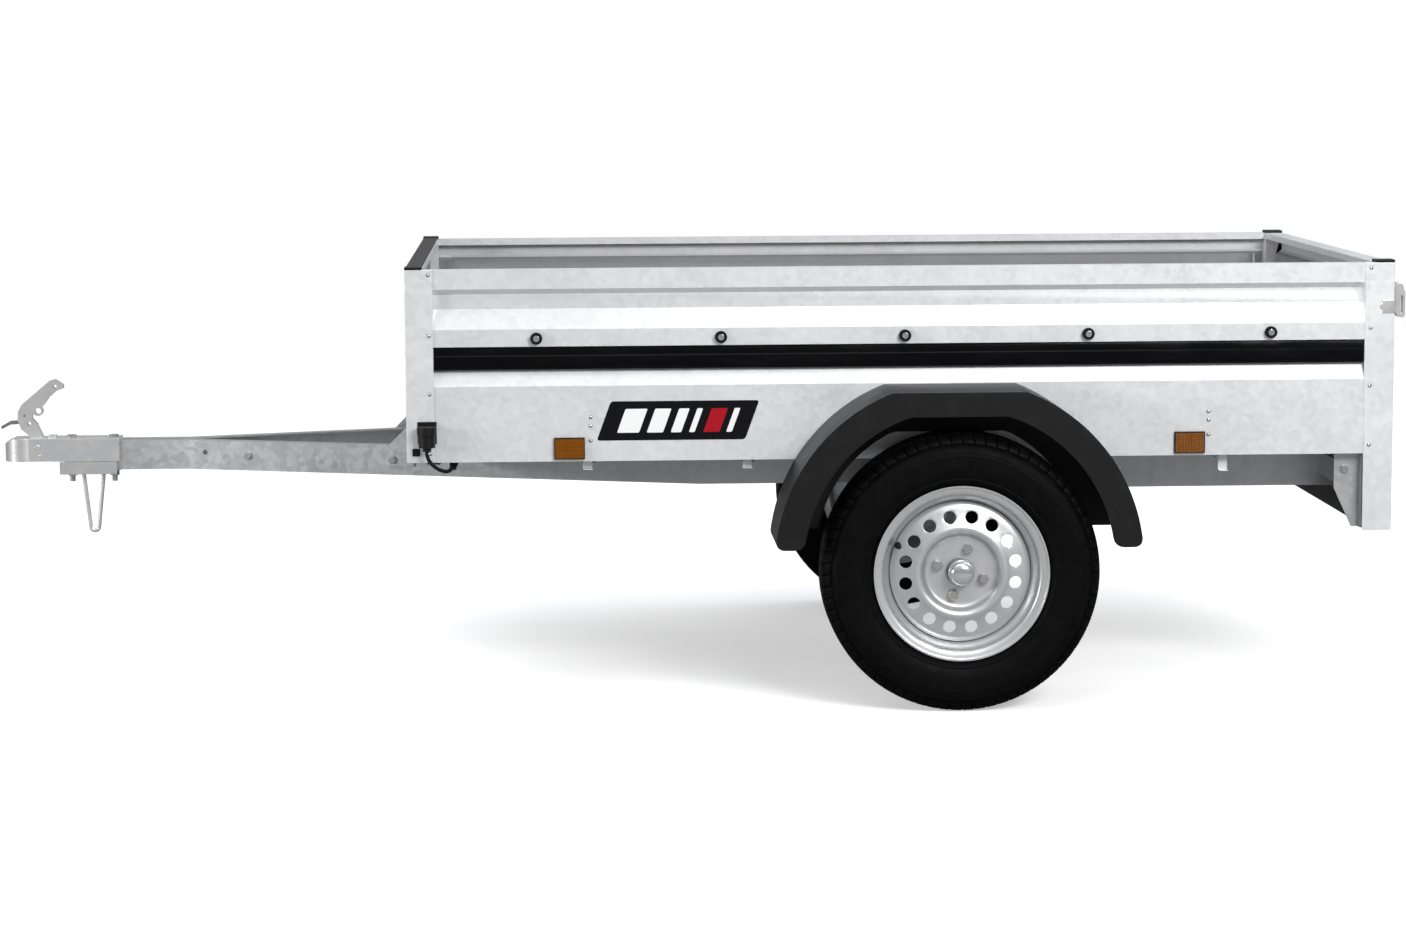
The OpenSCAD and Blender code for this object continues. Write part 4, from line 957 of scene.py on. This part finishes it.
def side_wall(side, sign):
    """The solid wall's own shape, with the upper recess's two ends brought out to the skin."""
    work = cad_shape("side_wall_" + side)
    rise = RECESS_TOP - RECESS_LOW
    for post, toward in ((POST_FRONT, 1), (POST_REAR, -1)):
        slope = Vector((rise, 0, -toward * RECESS_FADE)).normalized()
        for normal in (Vector((1, 0, 0)), slope):
            geometry = [*work.verts, *work.edges, *work.faces]
            start = Vector((post, 0, RECESS_LOW))
            plane = {"plane_co": start, "plane_no": normal, "dist": 0.00002}
            bmesh.ops.bisect_plane(work, geom=geometry, **plane)
    for v in work.verts:
        out = abs(v.co.y)
        beyond = v.co.x < POST_FRONT + 0.0001 or v.co.x > POST_REAR - 0.0001
        recessed = 0.594 < out < WALL_SKIN - 0.0025 or abs(out - 0.598) < 0.0005
        if beyond and recessed and RECESS_LOW - 0.001 < v.co.z < RECESS_TOP + 0.001:
            v.co.y += sign * RECESS_DEEP
    mesh = as_mesh(rounded(work, sharp_edges(work, 12), 0.0014), "side_wall")
    made = piece("side_wall_" + side + "_formed", mesh, wall_zinc, "chassis", 30)
    flat_shaded(made)
    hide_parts("side_wall_" + side)


side_wall("left", -1)
side_wall("right", 1)
refined("front_wall", "chassis", wall_zinc, 0.0012, 14)
refined("front_posts", "chassis", post_zinc, 0.0018)
refined("rear_posts", "chassis", post_zinc, 0.0018)

# Black plastic caps close the posts' ends, and a dark strip is pressed over the front wall's top
# edge.
cap_plastic = moulded("cap_plastic", 0.007, 0.36)
refined("plastic_caps", "chassis", cap_plastic, 0.0012)
trim_plastic = moulded("trim_plastic", 0.030, 0.5)
trim_work = bmesh.new()
trim_outline = [(-0.5815, 0.9131), (-0.5815, 0.9158), (-0.5795, 0.9168), (-0.5505, 0.9168)]
trim_outline += [(-0.5485, 0.9158), (-0.5485, 0.9131)]
bar_across(trim_work, [Vector(p) for p in trim_outline], -0.574, 0.574)
trim_mesh = as_mesh(trim_work, "front_trim", outwards=True)
piece("front_wall_trim", trim_mesh, trim_plastic, "chassis", 30)

# ------------------------------------------------------------------------------------- the rivets
# The walls are held to the posts, and the tie-down brackets to the walls, by 5 mm steel blind
# rivets. Each has a low dome with the broken mandrel's pit in its middle, over a thin black ring
# that stands for the dirt round the head and paints the shade at its foot.


def on_wall(profile):
    """A turned part, from its (radius, height) points, standing on z = 0."""
    work = spun(profile, 20, False)
    upright = Matrix.Rotation(math.pi / 2, 3, "X")
    bmesh.ops.rotate(work, verts=work.verts, cent=(0, 0, 0), matrix=upright)
    return work


def solids_of(node):
    """The middle, the low corner and the high corner of each separate solid of a CAD node."""
    work = opened(nodes[node].data, 0.00001)
    left, found = set(work.verts), []
    while left:
        heap = [left.pop()]
        group = list(heap)
        while heap:
            for e in heap.pop().link_edges:
                for v in e.verts:
                    if v in left:
                        left.discard(v)
                        heap.append(v)
                        group.append(v)
        low = Vector([min(v.co[i] for v in group) for i in range(3)])
        high = Vector([max(v.co[i] for v in group) for i in range(3)])
        found.append(((low + high) / 2, low, high))
    work.free()
    return sorted(found, key=lambda s: tuple(round(c, 5) for c in s[0]))


spots = []
for middle, low, high in solids_of("rivets"):
    outward = 1 if middle.y > 0 else -1
    root = low.y if outward > 0 else high.y
    spots.append(((middle.x, root, middle.z), (-outward * math.pi / 2, 0, 0)))
dome = on_wall(
    [(0, 0.9), (0.9, 0.95), (1.15, 1.5), (1.5, 1.6), (3.2, 1.3), (4.5, 0.7), (5.0, 0.0), (0, 0.0)]
)
# A thin black ring under each dome: dirt round the rivet's head, and painted shade at its foot.
dirt_and_shade_ring = on_wall([(0, 0.35), (5.9, 0.35), (6.1, 0.0), (0, 0.0)])
button_rubber = rubber("button_rubber", 0.008)
DOME_WIDTH = 0.010
middle, low, high = solids_of("rivets")[0]
rivet_size = (high.x - low.x) / DOME_WIDTH
dirt_and_shade_ring_mesh = as_mesh(set_out(dirt_and_shade_ring, spots, button_rubber, rivet_size), "rivet_seals")
piece("rivet_seals", dirt_and_shade_ring_mesh, button_rubber, "chassis", 35)
rivet_mesh = as_mesh(set_out(dome, spots, cap_zinc, rivet_size), "rivets")
rivets = piece("rivet_heads", rivet_mesh, cap_zinc, "chassis", 35)
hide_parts("rivets")

# ------------------------------------------------------------------------------------- the strips
# A strip of gloss black film-faced plastic lies in each wall's lower recess. Black rubber buttons
# with a zinc screw in the middle stand above it, for the cover's elastic.

gloss_black = Finish("gloss_black", (0.002, 0.002, 0.0024), 0.16, specular_ior_level=0.12)
smear = gloss_black.place.stretched(1, 1, 6).noise(9, 5, 0.6).clipped(0.45, 0.8)
gloss_black.set("Roughness", 0.13 + smear * 0.16)
gloss_black.set("Base Color", smear.between((0.002, 0.002, 0.0024), (0.004, 0.004, 0.0045)))
gloss_black.bump(gloss_black.place.noise(40, 2), 0.00015)
strip_work = bmesh.new()
for middle, low, high in solids_of("side_strips"):
    out = -1 if middle.y < 0 else 1
    wall, face = sorted((low.y, high.y), key=abs)
    outline = [(wall, high.z), (face - out * 0.0060, high.z)]
    outline += [(face - out * 0.0042, high.z - 0.0010)]
    outline += [(face - out * 0.0012, high.z - 0.0150), (face - out * 0.0014, high.z - 0.0165)]
    outline += [(face - out * 0.0002, high.z - 0.0185), (face, high.z - 0.0200)]
    outline += [(face, low.z + 0.0030), (face - out * 0.0008, low.z + 0.0012)]
    outline += [(face - out * 0.0030, low.z), (wall, low.z)]
    bar_between(strip_work, *([(x, y, z) for y, z in outline] for x in (low.x, high.x)))
strip_mesh = as_mesh(strip_work, "side_strips", outwards=True)
strips = piece("side_strips_formed", strip_mesh, gloss_black, "chassis", 20)
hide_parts("side_strips")
refined("tarp_buttons", "chassis", button_rubber, 0.0007, 30)
refined("tarp_button_screws", "chassis", cap_zinc, 0.0006, 30)

# ------------------------------------------------------------------------------------- reflectors
# Two amber reflectors a side are moulded in acrylic with rows of small prisms behind the face, in
# a dark rim, and stuck to the wall.


def lens(name, dark, bright, cell):
    """Clear coloured plastic over rows of small prisms."""
    made = Finish(name, bright, 0.2, specular_ior_level=0.15, coat_weight=0.05, coat_roughness=0.04)
    x = (made.place.axis("X") + made.place.axis("Y")) * (math.pi / cell)
    z = made.place.axis("Z") * (math.pi / cell)
    ridge = x.maths("ABSOLUTE", x.maths("SINE", x)) * z.maths("ABSOLUTE", z.maths("SINE", z))
    deep = made.place.noise(55, 2).clipped(0.3, 0.8)
    made.set("Base Color", (ridge * 0.8 + deep * 0.2).between(dark, bright))
    made.bump(ridge, 0.0004)
    return made


amber = lens("amber_acrylic", (0.09, 0.024, 0.0), (0.30, 0.098, 0.0), 0.0034)
refined("side_reflectors", "chassis", amber, 0.0009)
rim_frame = bmesh.new()
for middle, low, high in solids_of("side_reflectors"):
    out = -1 if middle.y < 0 else 1
    base = high.y if out < 0 else low.y
    width, height, lip = (high.x - low.x) / 2, (high.z - low.z) / 2, 0.0022
    inner, outer = [], []
    for ring, reach in ((inner, -lip), (outer, 0.0)):
        for sx, sz in ((-1, -1), (1, -1), (1, 1), (-1, 1)):
            ring.append((middle.x + sx * (width + reach), middle.z + sz * (height + reach)))
    levels = [base, base + out * 0.0075]
    inner_back, inner_front, outer_back, outer_front = (
        [rim_frame.verts.new((x, y, z)) for x, z in ring] for ring in (inner, outer) for y in levels
    )
    around = [inner_back, inner_front, outer_front, outer_back, inner_back]
    for near, far in zip(around, around[1:]):
        band(rim_frame, near, far)
bmesh.ops.recalc_face_normals(rim_frame, faces=rim_frame.faces)
rounded(rim_frame, sharp_edges(rim_frame, 34.4), 0.0005)
rim_frame_mesh = as_mesh(rim_frame, "reflector_rims")
piece("reflector_rims", rim_frame_mesh, cap_plastic, "chassis", 35)

# ------------------------------------------------------------------------------------- the decals
# One printed vinyl decal a side: a black leaning panel with rounded corners, and plain white and
# red bars.


def leaning_bar(work, corners, y, thick, round_off, side):
    """A flat plate with rounded corners, from four (x, z) corners, standing on the wall at y."""
    outline = []
    for i, (x, z) in enumerate(corners):
        here = Vector((x, z))
        before, after = Vector(corners[i - 1]) - here, Vector(corners[(i + 1) % 4]) - here
        start, end = here + before.normalized() * round_off, here + after.normalized() * round_off
        outline += arc(start, here, end, 6)
    bar_across(work, outline, y, y + side * thick)


def decal_mesh(bars, y, thick, side):
    """One colour's bars, each with its corners and their rounding, as one mesh."""
    work = bmesh.new()
    for corners, round_off in bars:
        leaning_bar(work, corners, y, thick, round_off, side)
    return as_mesh(work, "decal", outwards=True)


def vinyl(name, colour):
    """Printed film with a slight orange peel, and fine wear in its highs."""
    made = Finish(name, colour, 0.3, specular_ior_level=0.2)
    wear = made.place.noise(240, 4).clipped(0.62, 0.8)
    worn = tuple(min(1.0, c * 0.8 + 0.012) for c in colour)
    made.set("Base Color", (wear * 0.3).between(colour, worn))
    made.set("Roughness", 0.26 + wear * 0.3)
    made.bump(made.place.noise(60, 2), 0.00006)
    return made


black_vinyl = vinyl("black_vinyl", (0.003, 0.003, 0.004))
white_vinyl = vinyl("white_vinyl", (0.82, 0.82, 0.82))
red_vinyl = vinyl("red_vinyl", (0.36, 0.006, 0.014))
LEAN = 0.030 / 0.082
PANEL_FOOT, PANEL_TOP = 0.554, 0.636
BAR_FOOT, BAR_TOP = 0.570, 0.620
PANEL_THICK, BAR_THICK = 0.0004, 0.00015


def leaning(x0, x1, z0, z1):
    """The corners of a bar between x0 and x1 at the panel's foot, leaning back like the panel."""
    return [(x + LEAN * (z - PANEL_FOOT), z) for x, z in ((x0, z0), (x1, z0), (x1, z1), (x0, z1))]


white_bars = ((-0.150, 0.046), (-0.088, 0.034), (-0.038, 0.022), (0.000, 0.012), (0.078, 0.012))
for side, sign in (("left", -1), ("right", 1)):
    skin = sign * WALL_SKIN
    over = skin + sign * PANEL_THICK
    panel = [(leaning(-0.1865, 0.1235, PANEL_FOOT, PANEL_TOP), 0.007)]
    whites = [(leaning(x, x + wide, BAR_FOOT, BAR_TOP), 0.003) for x, wide in white_bars]
    reds = [(leaning(0.030, 0.064, BAR_FOOT, BAR_TOP), 0.003)]
    for name, bars, y, thick, finish in (
        ("decal_", panel, skin, PANEL_THICK, black_vinyl),
        ("decal_bars_", whites, over, BAR_THICK, white_vinyl),
        ("decal_mark_", reds, over, BAR_THICK, red_vinyl),
    ):
        mesh = decal_mesh(bars, y, thick, sign)
        piece(name + side, mesh, finish, "chassis", 30)

# ----------------------------------------------------------------------------------- the tailgate
# The tailgate is a folded sheet like the walls. It turns on three strap hinges and is held by two
# over-centre latches whose levers hook behind the posts' keepers.

refined("tailgate_panel", "tailgate", wall_zinc, 0.0012, 14)
fitting_zinc = zinc_plate("fitting_zinc", 0.74, 0.28)
refined("hinge_straps", "tailgate", fitting_zinc, 0.0006)
refined("latch_bases", "tailgate", fitting_zinc, 0.0006)
for side in ("left", "right"):
    refined("latch_lever_" + side, "latch_" + side, fitting_zinc, 0.0007)
refined("lashing_hooks", "chassis", post_zinc, 0.0006)
for part in ("hinge_leaves", "latch_keepers"):
    refined(part, "chassis", fitting_zinc, 0.0006)

# ------------------------------------------------------------------------------------- the lights
# Two lamps with black housings and prismatic lenses stand on the light board, with a moulded
# holder for the number plate between them.

refined("tail_light_housings", "chassis", cap_plastic, 0.0015)
red_lens = lens("red_acrylic", (0.11, 0.002, 0.002), (0.42, 0.010, 0.012), 0.0055)
refined("tail_light_lenses", "chassis", red_lens, 0.0018)
refined("number_plate_holder", "chassis", cap_plastic, 0.0008)

# --------------------------------------------------------------------------------------- the plug
# The plug is a moulded black connector, parked in a plastic ring that is screwed to the front
# post. The lead ends in it; its length is summed here.

plug = refined("connector_plug", "chassis", cap_plastic, 0.0012)
lead_length = sum((b - a).length for a, b in zip(lead_line, lead_line[1:]))
refined("plug_holder", "chassis", cap_plastic, 0.0008)
refined("lead_clips", "chassis", cap_plastic, 0.0006)

# -------------------------------------------------------------------------------------- the bounds
# The box round the finished model's shown parts, without the studio floor.

low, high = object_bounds()
